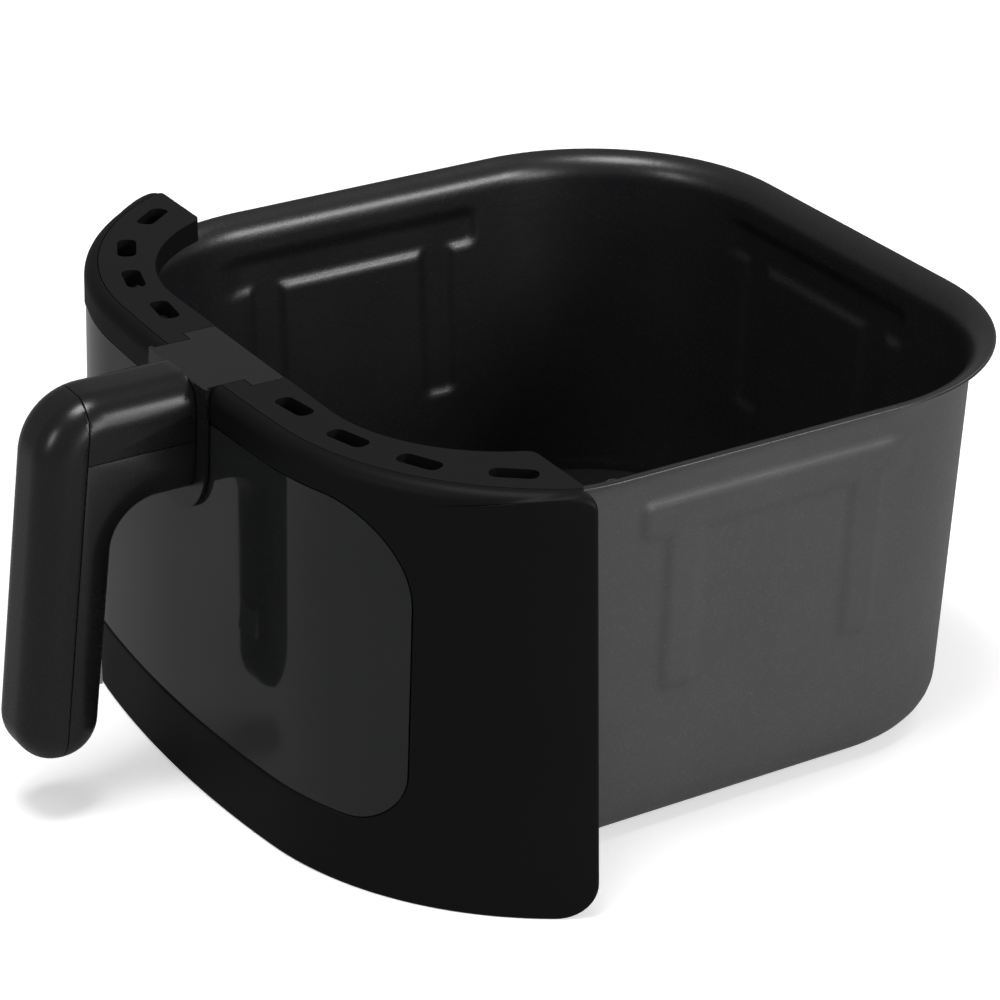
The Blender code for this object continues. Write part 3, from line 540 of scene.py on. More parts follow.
def softened(outline: Profile, radius: float, least: float = 30.0, steps: int = 8) -> Profile:
    """Rounds the sharp corners of a closed outline.

    Args:
        outline: the outline.
        radius: how far from a corner its rounding starts.
        least: the smallest turn, in degrees, that counts as a corner.
        steps: how many steps a rounding takes.

    Returns:
        The rounded outline.
    """
    points = [Vector(point) for point in outline]
    threes = zip(points[-1:] + points[:-1], points, points[1:] + points[:1])
    turns = [(here - before).angle(after - here) for before, here, after in threes]
    corners = [point for point, turn in zip(points, turns) if turn > math.radians(least)]
    kept = [p for p in points if p in corners or all((p - corner).length > radius for corner in corners)]
    found: Profile = []
    for before, here, after in zip(kept[-1:] + kept[:-1], kept, kept[1:] + kept[:1]):
        if here not in corners:
            found.append(tuple(here))
            continue
        start = here + (before - here).normalized() * radius
        end = here + (after - here).normalized() * radius
        for share in (i / steps for i in range(steps + 1)):
            found.append(tuple(start.lerp(here, share).lerp(here.lerp(end, share), share)))
    return found


def settled(shape: bmesh.types.BMesh, name: str, outwards: bool = True) -> bpy.types.Mesh:
    """Turns a bmesh into a mesh.

    Args:
        shape: the bmesh, which is freed.
        name: the mesh's name.
        outwards: whether its doubles are merged and its faces turned out.

    Returns:
        The mesh.
    """
    if outwards:
        bmesh.ops.remove_doubles(shape, verts=shape.verts, dist=1e-7)
        bmesh.ops.recalc_face_normals(shape, faces=shape.faces)
    mesh = bpy.data.meshes.new(name)
    shape.to_mesh(mesh)
    shape.free()
    return mesh


def lofted(name: str, rings: Sequence[Sequence[Sequence[float]]], caps: bool = True) -> bpy.types.Mesh:
    """A body through rings of equal point count.

    Args:
        name: the mesh's name.
        rings: the rings, in order.
        caps: True for a face over each end, False to join the last ring to the first.

    Returns:
        The mesh.
    """
    shape = bmesh.new()
    rows = [[shape.verts.new(point) for point in ring] for ring in rings]
    pairs = list(zip(rows, rows[1:]))
    if not caps:
        pairs.append((rows[-1], rows[0]))
    for lower, upper in pairs:
        for i in range(len(lower)):
            j = (i + 1) % len(lower)
            shape.faces.new((lower[i], lower[j], upper[j], upper[i]))
    if caps:
        shape.faces.new(rows[0][::-1])
        shape.faces.new(rows[-1])
    return settled(shape, name)


def shelled(name: str, outer: Grid, inner: Grid) -> bpy.types.Mesh:
    """A closed skin between two grids of points, with a wall round their edge.

    Args:
        name: the mesh's name.
        outer: rows of points on the outer face.
        inner: the same rows on the inner face.

    Returns:
        The mesh.
    """
    shape = bmesh.new()
    sheets = [[[shape.verts.new(point) for point in row] for row in grid] for grid in (outer, inner)]
    wide = len(outer[0])
    for sheet in sheets:
        for lower, upper in zip(sheet, sheet[1:]):
            for i in range(wide - 1):
                shape.faces.new((lower[i], lower[i + 1], upper[i + 1], upper[i]))
    edges = []
    for sheet in sheets:
        first = sheet[0] + [row[-1] for row in sheet[1:-1]]
        edges.append(first + sheet[-1][::-1] + [row[0] for row in sheet[-2:0:-1]])
    for i in range(len(edges[0])):
        j = (i + 1) % len(edges[0])
        shape.faces.new((edges[0][i], edges[0][j], edges[1][j], edges[1][i]))
    return settled(shape, name)


def turned(name: str, profile: Profile, steps: int = 24, axis: str = "Z") -> bpy.types.Mesh:
    """A body turned about an axis.

    Args:
        name: the mesh's name.
        profile: its (radius, height) points, from the axis and back to it.
        steps: how many steps the turn takes.
        axis: Z, or Y for a body whose top faces the front.

    Returns:
        The mesh.
    """
    shape = bmesh.new()
    verts = [shape.verts.new((radius, 0.0, height)) for radius, height in profile]
    edges = [shape.edges.new(pair) for pair in zip(verts, verts[1:])]
    sweep = {"cent": (0, 0, 0), "axis": (0, 0, 1), "angle": math.tau, "steps": steps, "use_merge": True}
    bmesh.ops.spin(shape, geom=verts + edges, **sweep)
    if axis == "Y":
        to_front = Matrix.Rotation(math.pi / 2, 3, "X")
        bmesh.ops.rotate(shape, cent=(0, 0, 0), matrix=to_front, verts=shape.verts)
    return settled(shape, name)


def sheet_cut(
    name: str, outlines: Sequence[Profile], low: float, high: float, ease: float = 0.0
) -> bpy.types.Mesh:
    """A flat plate cut to outlines, the first outer and the rest holes.

    Args:
        name: the mesh's name.
        outlines: closed outlines in X and Y.
        low: the height of its lower face.
        high: the height of its upper face.
        ease: the radius of its eased edges.

    Returns:
        The mesh.
    """
    curve = bpy.data.curves.new(name, "CURVE")
    curve.dimensions = "2D"
    curve.fill_mode = "BOTH"
    curve.extrude = (high - low) / 2 - ease
    curve.bevel_depth = ease
    curve.bevel_resolution = 2
    curve.offset = -ease
    for outline in outlines:
        spline = curve.splines.new("POLY")
        spline.points.add(len(outline) - 1)
        for point, place in zip(spline.points, outline):
            point.co = (*place, 0.0, 1.0)
        spline.use_cyclic_u = True
    holder = bpy.data.objects.new(name, curve)
    bpy.context.scene.collection.objects.link(holder)
    made = bpy.data.meshes.new_from_object(holder.evaluated_get(bpy.context.evaluated_depsgraph_get()))
    bpy.data.objects.remove(holder)
    bpy.data.curves.remove(curve)
    shape = bmesh.new()
    shape.from_mesh(made)
    bpy.data.meshes.remove(made)
    bmesh.ops.translate(shape, verts=shape.verts, vec=(0.0, 0.0, (low + high) / 2))
    return settled(shape, name)


def holder_of(mesh: bpy.types.Mesh) -> bpy.types.Object:
    """Puts a mesh in the scene.

    Args:
        mesh: the mesh.

    Returns:
        The object that holds it.
    """
    made = bpy.data.objects.new(mesh.name, mesh)
    bpy.context.scene.collection.objects.link(made)
    return made


def dropped(*objects: bpy.types.Object) -> None:
    """Removes helper objects from the scene."""
    for helper in objects:
        bpy.data.objects.remove(helper)


def baked(target: bpy.types.Object) -> bpy.types.Mesh:
    """Applies an object's modifiers.

    Args:
        target: the object, which is removed.

    Returns:
        The mesh that the modifiers give.
    """
    bpy.context.view_layer.update()
    mesh = bpy.data.meshes.new_from_object(target.evaluated_get(bpy.context.evaluated_depsgraph_get()))
    dropped(target)
    return mesh


def cut(mesh: bpy.types.Mesh, other: bpy.types.Mesh, operation: str = "DIFFERENCE") -> bpy.types.Mesh:
    """One Boolean of two meshes.

    Args:
        mesh: the mesh that is worked on.
        other: the mesh that cuts it or joins it.
        operation: the modifier's operation.

    Returns:
        The result.
    """
    target, tool = holder_of(mesh), holder_of(other)
    modifier = target.modifiers.new("cut", "BOOLEAN")
    modifier.operation = operation
    modifier.solver = "EXACT"
    modifier.object = tool
    result = baked(target)
    dropped(tool)
    return result


def eased(
    mesh: bpy.types.Mesh, width: float, segments: int = 2, angle: float = 40.0, even: bool = True
) -> bpy.types.Mesh:
    """Rounds a mesh's sharp edges.

    Args:
        mesh: the mesh.
        width: how far in from the edge the rounding starts.
        segments: how many steps it takes.
        angle: the smallest angle, in degrees, that counts as an edge.
        even: whether large flat faces keep their own shading up to the rounding.

    Returns:
        The mesh with its edges rounded.
    """
    target = holder_of(mesh)
    modifier = target.modifiers.new("eased", "BEVEL")
    modifier.width = width
    modifier.segments = segments
    modifier.limit_method = "ANGLE"
    modifier.angle_limit = math.radians(angle)
    modifier.use_clamp_overlap = True
    if even:
        mesh.shade_smooth()
        target.modifiers.new("even_shading", "WEIGHTED_NORMAL")
    return baked(target)


# ---- Geometry Nodes -------------------------------------------------------------------------------


class Repeater:
    """A Geometry Nodes tree that puts one solid at every place of a pattern, and joins or punches it."""

    def __init__(self, task: Task) -> None:
        """Builds the tree.

        Args:
            task: what it does with the solid.
        """
        self.tree = bpy.data.node_groups.new(task.value, "GeometryNodeTree")
        sockets = {
            "Plate": "NodeSocketGeometry",
            "Solid": "NodeSocketObject",
            "Places": "NodeSocketObject",
            "Size": "NodeSocketFloat",
            "Seed": "NodeSocketInt",
            "Finish": "NodeSocketMaterial",
        }
        for label, kind in sockets.items():
            self.tree.interface.new_socket(label, in_out="INPUT", socket_type=kind)
        self.tree.interface.new_socket("Pieces", in_out="OUTPUT", socket_type="NodeSocketGeometry")
        given = self._node("NodeGroupInput", {})
        solid = self._node("GeometryNodeObjectInfo", {"Object": given.outputs["Solid"]})
        places = self._node("GeometryNodeObjectInfo", {"Object": given.outputs["Places"]})
        turn = self._node("GeometryNodeInputNamedAttribute", {"Name": "turn"}, {"data_type": "FLOAT_VECTOR"})
        wobble = {"Min": (-0.002,) * 3, "Max": (0.002,) * 3, "Seed": given.outputs["Seed"]}
        wobble = self._node("FunctionNodeRandomValue", wobble, {"data_type": "FLOAT_VECTOR"})
        values = {0: turn.outputs["Attribute"], 1: wobble.outputs["Value"]}
        turned_by = self._node("ShaderNodeVectorMath", values, {"operation": "ADD"})
        copies = self._node(
            "GeometryNodeInstanceOnPoints",
            {
                "Points": places.outputs["Geometry"],
                "Instance": solid.outputs["Geometry"],
                "Rotation": turned_by.outputs["Vector"],
                "Scale": given.outputs["Size"],
            },
        )
        shape = self._node("GeometryNodeRealizeInstances", {"Geometry": copies.outputs["Instances"]})
        if task is Task.PUNCH:
            values = {"Mesh 1": given.outputs["Plate"], "Mesh 2": shape.outputs["Geometry"]}
            settings = {"operation": "DIFFERENCE", "solver": "EXACT"}
            punched = self._node("GeometryNodeMeshBoolean", values, settings)
            shape = self._node("GeometryNodeRealizeInstances", {"Geometry": punched.outputs["Mesh"]})
        values = {"Geometry": shape.outputs["Geometry"], "Material": given.outputs["Finish"]}
        dressed = self._node("GeometryNodeSetMaterial", values)
        self._node("NodeGroupOutput", {"Pieces": dressed.outputs["Geometry"]})

    def _node(self, kind: str, values: dict, settings: dict | None = None) -> bpy.types.Node:
        """Adds a node.

        Args:
            kind: the node's type.
            values: what its inputs take, by name or place: a value or a socket.
            settings: what is set on the node itself, before its inputs.

        Returns:
            The node.
        """
        made = self.tree.nodes.new(kind)
        for key, value in (settings or {}).items():
            setattr(made, key, value)
        for key, value in values.items():
            if isinstance(value, bpy.types.NodeSocket):
                self.tree.links.new(value, made.inputs[key])
            else:
                made.inputs[key].default_value = value
        return made

    def run(
        self,
        solid: bpy.types.Mesh,
        places: Sequence[tuple[Sequence[float], Sequence[float]]],
        finish: bpy.types.Material,
        plate: bpy.types.Mesh | None = None,
    ) -> bpy.types.Mesh:
        """Runs the tree once.

        Args:
            solid: the solid that is repeated.
            places: for each copy, its place and its turns about X, Y and Z.
            finish: the material of the result.
            plate: what is punched, if the task is to punch.

        Returns:
            The result as a plain mesh.
        """
        points = bpy.data.meshes.new("places")
        points.from_pydata([place for place, _ in places], [], [])
        turns = points.attributes.new("turn", "FLOAT_VECTOR", "POINT")
        turns.data.foreach_set("vector", [value for _, turn in places for value in turn])
        pattern, tool = holder_of(points), holder_of(solid)
        target = holder_of(plate or bpy.data.meshes.new("empty"))
        modifier = target.modifiers.new(self.tree.name, "NODES")
        modifier.node_group = self.tree
        given = {"Solid": tool, "Places": pattern, "Size": 1.0, "Seed": 7, "Finish": finish}
        for socket in self.tree.interface.items_tree:
            if socket.name in given:
                modifier[socket.identifier] = given[socket.name]
        result = baked(target)
        dropped(pattern, tool)
        return result


COPIER = Repeater(Task.COPY)
PUNCH = Repeater(Task.PUNCH)


# ---- handing over ---------------------------------------------------------------------------------


@dataclass
class SubAssembly:
    """What every sub-assembly can do: hand a mesh over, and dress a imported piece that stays."""

    body: Body = Body.DRAWER

    def hand_over(
        self,
        mesh: bpy.types.Mesh,
        name: str,
        stands_for: Iterable[str],
        slot: Slot,
        finishes: Sequence[Slot | str] = (),
        smooth: float = 35.0,
    ) -> bpy.types.Object:
        """Makes a mesh one of the drawer's pieces.

        Args:
            mesh: its mesh, about the pan's centre line.
            name: its name.
            stands_for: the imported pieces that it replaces.
            slot: the record's slot of its finish.
            finishes: its finishes, if they aren't the slot's own.
            smooth: the largest angle, in degrees, that is shaded smooth.

        Returns:
            The object.
        """
        mesh.name = name
        mesh.transform(Matrix.Translation((0.0, PAN_CENTRE_Y, 0.0)))
        mesh.materials.clear()
        for key in finishes or (slot,):
            mesh.materials.append(FINISHES.get(key))
        if not mesh.has_custom_normals:
            mesh.shade_smooth()
            mesh.set_sharp_from_angle(angle=math.radians(smooth))
        made = holder_of(mesh)
        made.name = name
        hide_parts(*stands_for)
        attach(made, self.body.value)
        LOG.info("%s: %d faces, on %s", name, len(mesh.polygons), self.body.value)
        return made

    def dress(self, names: Iterable[str], finish: Slot | str) -> None:
        """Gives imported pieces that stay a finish.

        Args:
            names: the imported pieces.
            finish: the finish that they take.
        """
        for name in names:
            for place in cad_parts[name].material_slots:
                place.material = FINISHES.get(finish)
            LOG.info("%s: kept, with a new finish", name)


# ---- the forms that pieces share ------------------------------------------------------------------


def named_by_place(stem: str, ends: Sequence[str]) -> list[str]:
    """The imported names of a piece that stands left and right, and at each of two ends."""
    return [f"{stem}_{side}_{end}" for side in ("left", "right") for end in ends]


@dataclass(frozen=True)
class PanForm:
    """The pressed pan's outline and wall, which other pieces fit to."""

    half: float = 0.125
    height: float = 0.134
    corner: float = 0.0733
    sheet: float = 0.0012
    draft: float = 0.0055
    base_radius: float = 0.0135
    flare: float = 0.0076

    @property
    def flat(self) -> float:
        """Half the length of a side's straight part."""
        return self.half - self.corner

    @property
    def wall_top(self) -> float:
        """The height where the rim's flare starts."""
        return self.height - self.flare - self.sheet

    @property
    def tilt(self) -> float:
        """How far the wall leans out, in radians."""
        return math.atan(self.draft / (self.wall_top - self.base_radius))

    def wall_inset(self, height: float) -> float:
        """How far the wall's outer face lies inside the rim's edge at a height below the flare."""
        return self.flare + (self.wall_top - height) * math.tan(self.tilt)

    def outline(self, inset: float, steps: int = 24) -> Profile:
        """The rim's plan, moved inwards.

        Args:
            inset: how far it is moved.
            steps: how many steps a corner takes.

        Returns:
            The closed outline.
        """
        half = self.half - inset
        corner = self.corner - inset
        return rounded(half, -half, half, corner, corner, steps)

    def columns(self, flat_steps: int, corner_steps: int) -> list[tuple[int, float, float]]:
        """Where the pan's columns stand.

        Args:
            flat_steps: how many steps a side's straight part takes.
            corner_steps: how many steps a corner takes.

        Returns:
            For each column its side, from 0 at the front round by the right, its distance along that side's
            straight part, and its angle round the next corner, in radians.
        """
        found = []
        for side in range(4):
            found += [(side, -self.flat + 2 * self.flat * i / flat_steps, 0.0) for i in range(flat_steps)]
            found += [(side, self.flat, math.pi / 2 * i / corner_steps) for i in range(corner_steps)]
        return found

    def spot(self, column: tuple[int, float, float], inset: float) -> Flat:
        """Where a column stands in plan.

        Args:
            column: one of columns().
            inset: how far inside the rim's edge it lies.

        Returns:
            Its x and y.
        """
        side, x, angle = column
        corner = self.corner - inset
        x += corner * math.sin(angle)
        y = -self.flat - corner * math.cos(angle)
        cos, sin = ((1, 0), (0, 1), (-1, 0), (0, -1))[side]
        return (x * cos - y * sin, x * sin + y * cos)


@dataclass(frozen=True)
class Plan:
    """One level of the front's plan: two corner arcs joined by one flat arc."""

    reach: float
    front_radius: float
    corner_radius: float
    corner_out: float
    start_y: float = -0.0495

    def point(self, q: float, inset: float) -> Flat:
        """A point of the plan.

        Args:
            q: 0 to 1 round the right corner, to 2 along the front, to 3 round the left corner.
            inset: how far inwards it lies.

        Returns:
            Its x and y.
        """
        front_y = self.front_radius - self.reach
        corner_y = front_y - math.sqrt((self.front_radius - self.corner_radius) ** 2 - self.corner_out**2)
        first = math.asin((corner_y - self.start_y) / self.corner_radius)
        last = math.atan2(front_y - corner_y, self.corner_out)
        if 1 < q < 2:
            angle = -last + (q - 1) * (2 * last - math.pi)
            radius = self.front_radius - inset
            return (radius * math.cos(angle), front_y + radius * math.sin(angle))
        side = 1 if q <= 1 else -1
        share = q if q <= 1 else 3 - q
        angle = -first + share * (first - last)
        radius = self.corner_radius - inset
        return (side * (self.corner_out + radius * math.cos(angle)), corner_y + radius * math.sin(angle))


@dataclass(frozen=True)
class FrontForm:
    """The moulded front's outer surface, blended from its foot's plan to its head's."""

    foot: Plan = Plan(0.143, 0.460, 0.113, 0.0445)
    head: Plan = Plan(0.136, 1.000, 0.103, 0.0486)
    height: float = 0.142
    back_edge: float = -0.0735

    def point(self, q: float, z: float, inset: float) -> Vector:
        """A point of the surface.

        Args:
            q: where round the plan.
            z: its height.
            inset: how far inside the surface.

        Returns:
            The point.
        """
        foot, head = self.foot.point(q, inset), self.head.point(q, inset)
        share = z / self.height
        return Vector((foot[0] + (head[0] - foot[0]) * share, foot[1] + (head[1] - foot[1]) * share, z))

    def across(self, z: float, axis: int, value: float, inset: float = 0.0) -> float:
        """Finds where the right half of a level reaches a value of x or y.

        Args:
            z: the level's height.
            axis: 0 for x, 1 for y.
            value: the value that is looked for.
            inset: how far inside the surface.

        Returns:
            The place round the plan, from 0 to 1.5.
        """
        low, high = 0.0, 1.5
        for _ in range(36):
            middle = (low + high) / 2
            if self.point(middle, z, inset)[axis] > value:
                low = middle
            else:
                high = middle
        return (low + high) / 2

    def at(self, x: float, z: float, inset: float) -> Vector:
        """The point behind x and z on the front's face."""
        q = self.across(z, 0, abs(x))
        return self.point(q if x > 0 else 3 - q, z, inset)

    def front_at(self, z: float) -> float:
        """y of the front's face in the middle, at a height."""
        return self.point(1.5, z, 0.0).y


PAN = PanForm()
FRONT = FrontForm()


# ---- pan ------------------------------------------------------------------------------------------


@dataclass
class Pan(SubAssembly):
    """The deep pressed pan, grey outside and near black inside, where its darker coating is painted shade,
    with a small window in its front wall.
    """

    rib_proud: float = 0.0013
    rib_slope: float = 0.0022
    bar: tuple[float, float, float, float] = (-0.050, 0.050, 0.107, 0.119)
    leg: tuple[float, float, float, float] = (0.0285, 0.0405, 0.052, 0.113)
    rib_shift: float = 0.010
    rib_corner: float = 0.003
    flat_steps: int = 84
    corner_steps: int = 24
    opening: tuple[float, float, float] = (0.084, 0.050, 0.012)
    opening_middle: float = 0.056
    rib_band: Flat = (0.045, 0.124)
    plain_below: float = 0.048
    floor_scales: tuple[float, ...] = (0.12, 0.35, 0.6, 0.85)
    floor_below: float = 0.01
    level_from: float = 0.9
    under_from: float = -0.35

    def pressed(self, column: tuple[int, float, float], z: float) -> float:
        """How far the stiffening shape stands out of the wall.

        Args:
            column: the wall's column.
            z: the height on the wall.

        Returns:
            The distance outwards.
        """
        side, x, angle = column
        s = x + PAN.corner * angle
        if angle > math.pi / 4:
            side, s = (side + 1) % 4, s - 2 * PAN.flat - PAN.corner * math.pi / 2
        if side == 0:
            return 0.0
        s -= self.rib_shift
        nearest = 1.0
        for box in (self.bar, self.leg, (-self.leg[1], -self.leg[0], *self.leg[2:])):
            out_s = abs(s - (box[0] + box[1]) / 2) - (box[1] - box[0]) / 2 + self.rib_corner
            out_z = abs(z - (box[2] + box[3]) / 2) - (box[3] - box[2]) / 2 + self.rib_corner
            edge = math.hypot(max(out_s, 0.0), max(out_z, 0.0)) + min(max(out_s, out_z), 0.0)
            nearest = min(nearest, edge - self.rib_corner)
        share = min(1.0, max(0.0, 0.5 - nearest / (2 * self.rib_slope)))
        return self.rib_proud * share * share * (3 - 2 * share)

    def wall(self, sheet: float) -> list[Flat]:
        """The wall's rows from the base's fillet to the flare.

        Args:
            sheet: 0 for the outer face, the sheet's thickness for the inner one.

        Returns:
            Each row's inset and height.
        """
        base = PAN.base_radius - sheet
        foot = PAN.wall_inset(PAN.base_radius) + sheet
        rows = []
        for i in range(9):
            angle = math.radians(90 * i / 8)
            rows.append((foot + base * (1 - math.sin(angle)), PAN.base_radius - base * math.cos(angle)))
        plain = self.plain_below
        heights = [PAN.base_radius + (plain - PAN.base_radius) * i / 9 for i in range(1, 10)]
        heights += [plain + (PAN.wall_top - plain) * i / 62 for i in range(1, 63)]
        rows += [(PAN.wall_inset(z) + sheet, z) for z in heights]
        flare = PAN.flare + sheet
        rows += [
            (flare * math.cos(a), PAN.wall_top + flare * math.sin(a))
            for a in (math.radians(90 * i / 9) for i in range(1, 9))
        ]
        return rows

    def rows(self) -> list[tuple[float, float]]:
        """Every row, from under the floor round the lip to the top of the floor.

        Returns:
            Each row's inset and height.
        """
        lip = PAN.sheet / 2
        middle = PAN.height - lip
        angles = [math.radians(-90 + 30 * i) for i in range(7)]
        turn = [(lip - lip * math.cos(a), middle + lip * math.sin(a)) for a in angles]
        return self.wall(0.0) + turn + self.wall(PAN.sheet)[::-1]

    def build(self) -> None:
        """Builds the pan."""
        columns = PAN.columns(self.flat_steps, self.corner_steps)
        rows = self.rows()
        rings = self.floor_rings(columns, rows[0], self.floor_scales)
        for inset, z in rows:
            ribbed = self.rib_band[0] < z < self.rib_band[1]
            grown = [self.pressed(column, z) if ribbed else 0.0 for column in columns]
            rings.append([(*PAN.spot(column, inset - grow), z) for column, grow in zip(columns, grown)])
        rings += self.floor_rings(columns, rows[-1], self.floor_scales[::-1])
        width, height, radius = self.opening
        outline = rounded(width / 2, -height / 2, height / 2, radius, radius, 10)
        hole = sheet_cut("hole", [outline], -THROUGH, THROUGH)
        hole.transform(self.to_front_wall())
        mesh = cut(lofted("pan", rings), hole)
        # Inside faces, the rim's top and the floor take the darker copy of the coating: painted shade for the
        # dim inside.
        middle = PAN.height - PAN.sheet / 2
        for face in mesh.polygons:
            x, y, z = face.center
            inwards = face.normal.x * x + face.normal.y * y < 0
            on_floor = face.normal.z > self.level_from and z < self.floor_below
            on_wall = inwards and z > PAN.sheet and face.normal.z > self.under_from
            if z > middle or on_floor or on_wall:
                face.material_index = 1
        indices = [face.material_index for face in mesh.polygons]
        finishes = [Slot.COATING, "shaded_inner_coating"]
        made = self.hand_over(mesh, "drawer_pan", ["pan"], Slot.COATING, finishes, 50.0)
        made.data.polygons.foreach_set("material_index", indices)

    def floor_rings(
        self, columns: Sequence[tuple[int, float, float]], row: Flat, scales: Sequence[float]
    ) -> list[list[tuple[float, float, float]]]:
        """Rings of the flat floor inside a row of the wall.

        Args:
            columns: the pan's columns.
            row: the row's inset and height.
            scales: how large each ring is against the row.

        Returns:
            The rings.
        """
        inset, z = row
        spots = [PAN.spot(column, inset) for column in columns]
        return [[(x * scale, y * scale, z) for x, y in spots] for scale in scales]

    def to_front_wall(self) -> Matrix:
        """Takes a flat outline in X and Y to the pan's front wall, with its thickness outwards.

        Returns:
            The transform.
        """
        y = -(PAN.half - PAN.wall_inset(self.opening_middle))
        upright = Matrix(((1, 0, 0, 0), (0, 0, -1, 0), (0, 1, 0, 0), (0, 0, 0, 1)))
        return Matrix.Translation((0, y, self.opening_middle)) @ Matrix.Rotation(PAN.tilt, 4, "X") @ upright


@dataclass
class InnerWindow(SubAssembly):
    """The small window in the pan's front wall: gasket, glass, pressed retainer and its four screws."""

    lap: float = 0.008
    gasket: float = 0.0012
    glass: float = 0.003
    sheet: float = 0.001
    margin: float = 0.009
    sight: float = 0.003
    screw_radius: float = 0.0015

    def build(self, pan: Pan) -> None:
        """Builds the window's pieces.

        Args:
            pan: the pan that it closes.
        """
        width, height, radius = pan.opening
        to_wall = pan.to_front_wall()

        def outline(grow: float) -> Profile:
            """The opening's outline, moved outwards by grow."""
            half = height / 2 + grow
            return rounded(width / 2 + grow, -half, half, radius + grow, radius + grow, 10)

        low = GAP
        mesh = sheet_cut("gasket", [outline(self.lap), outline(0.001)], low, low + self.gasket, 0.0003)
        mesh.transform(to_wall)
        self.hand_over(mesh, "inner_gasket", ["inner_window_gasket"], Slot.SILICONE)
        low += self.gasket + GAP
        mesh = sheet_cut("glass", [outline(self.lap)], low, low + self.glass, 0.0004)
        mesh.transform(to_wall)
        self.hand_over(mesh, "inner_glass", ["inner_window_glass"], Slot.CLEAR)
        low += self.glass + GAP
        rim = self.lap + 2 * GAP
        outlines = [outline(self.lap + self.margin), outline(self.sight)]
        face = sheet_cut("retainer", outlines, low, low + self.sheet)
        skirt = sheet_cut("skirt", [outline(rim + self.sheet), outline(rim)], GAP, low + self.sheet / 2)
        face.transform(to_wall)
        skirt.transform(to_wall)
        mesh = cut(face, skirt, "UNION")
        self.hand_over(mesh, "window_retainer", ["inner_window_retainer"], Slot.STEEL)
        self.build_screws(pan, low + self.sheet + GAP)

    def build_screws(self, pan: Pan, head: float) -> None:
        """Builds the four round-headed screws.

        Args:
            pan: the pan that they hold to.
            head: how far out their heads sit.
        """
        width, height, radius = pan.opening
        shank = self.screw_radius
        wide = 2 * shank
        angles = [math.radians(a) for a in (60, 40, 20, 0)]
        dome = [(wide * math.cos(a), head + shank * math.sin(a)) for a in angles]
        recess = head + shank * 0.45
        profile = [(0, recess), (wide * 0.22, recess), (wide * 0.3, head + shank), *dome]
        profile += [(wide, head), (shank, head), (shank, GAP), (0, GAP)]
        across = width / 2 + self.lap + self.margin / 2 + self.sheet
        up = height / 2 - radius / 2
        names = named_by_place("retainer_screw", ("low", "high"))
        to_wall = pan.to_front_wall()
        turn = (to_wall.to_euler().x, 0.0, 0.0)
        places = [(to_wall @ Vector((x, z, 0)), turn) for x in (-across, across) for z in (-up, up)]
        mesh = COPIER.run(turned("screw", profile, 20), places, FINISHES.get(Slot.STEEL))
        self.hand_over(mesh, "retainer_screws", names, Slot.STEEL)


# ---- moulded front --------------------------------------------------------------------------------


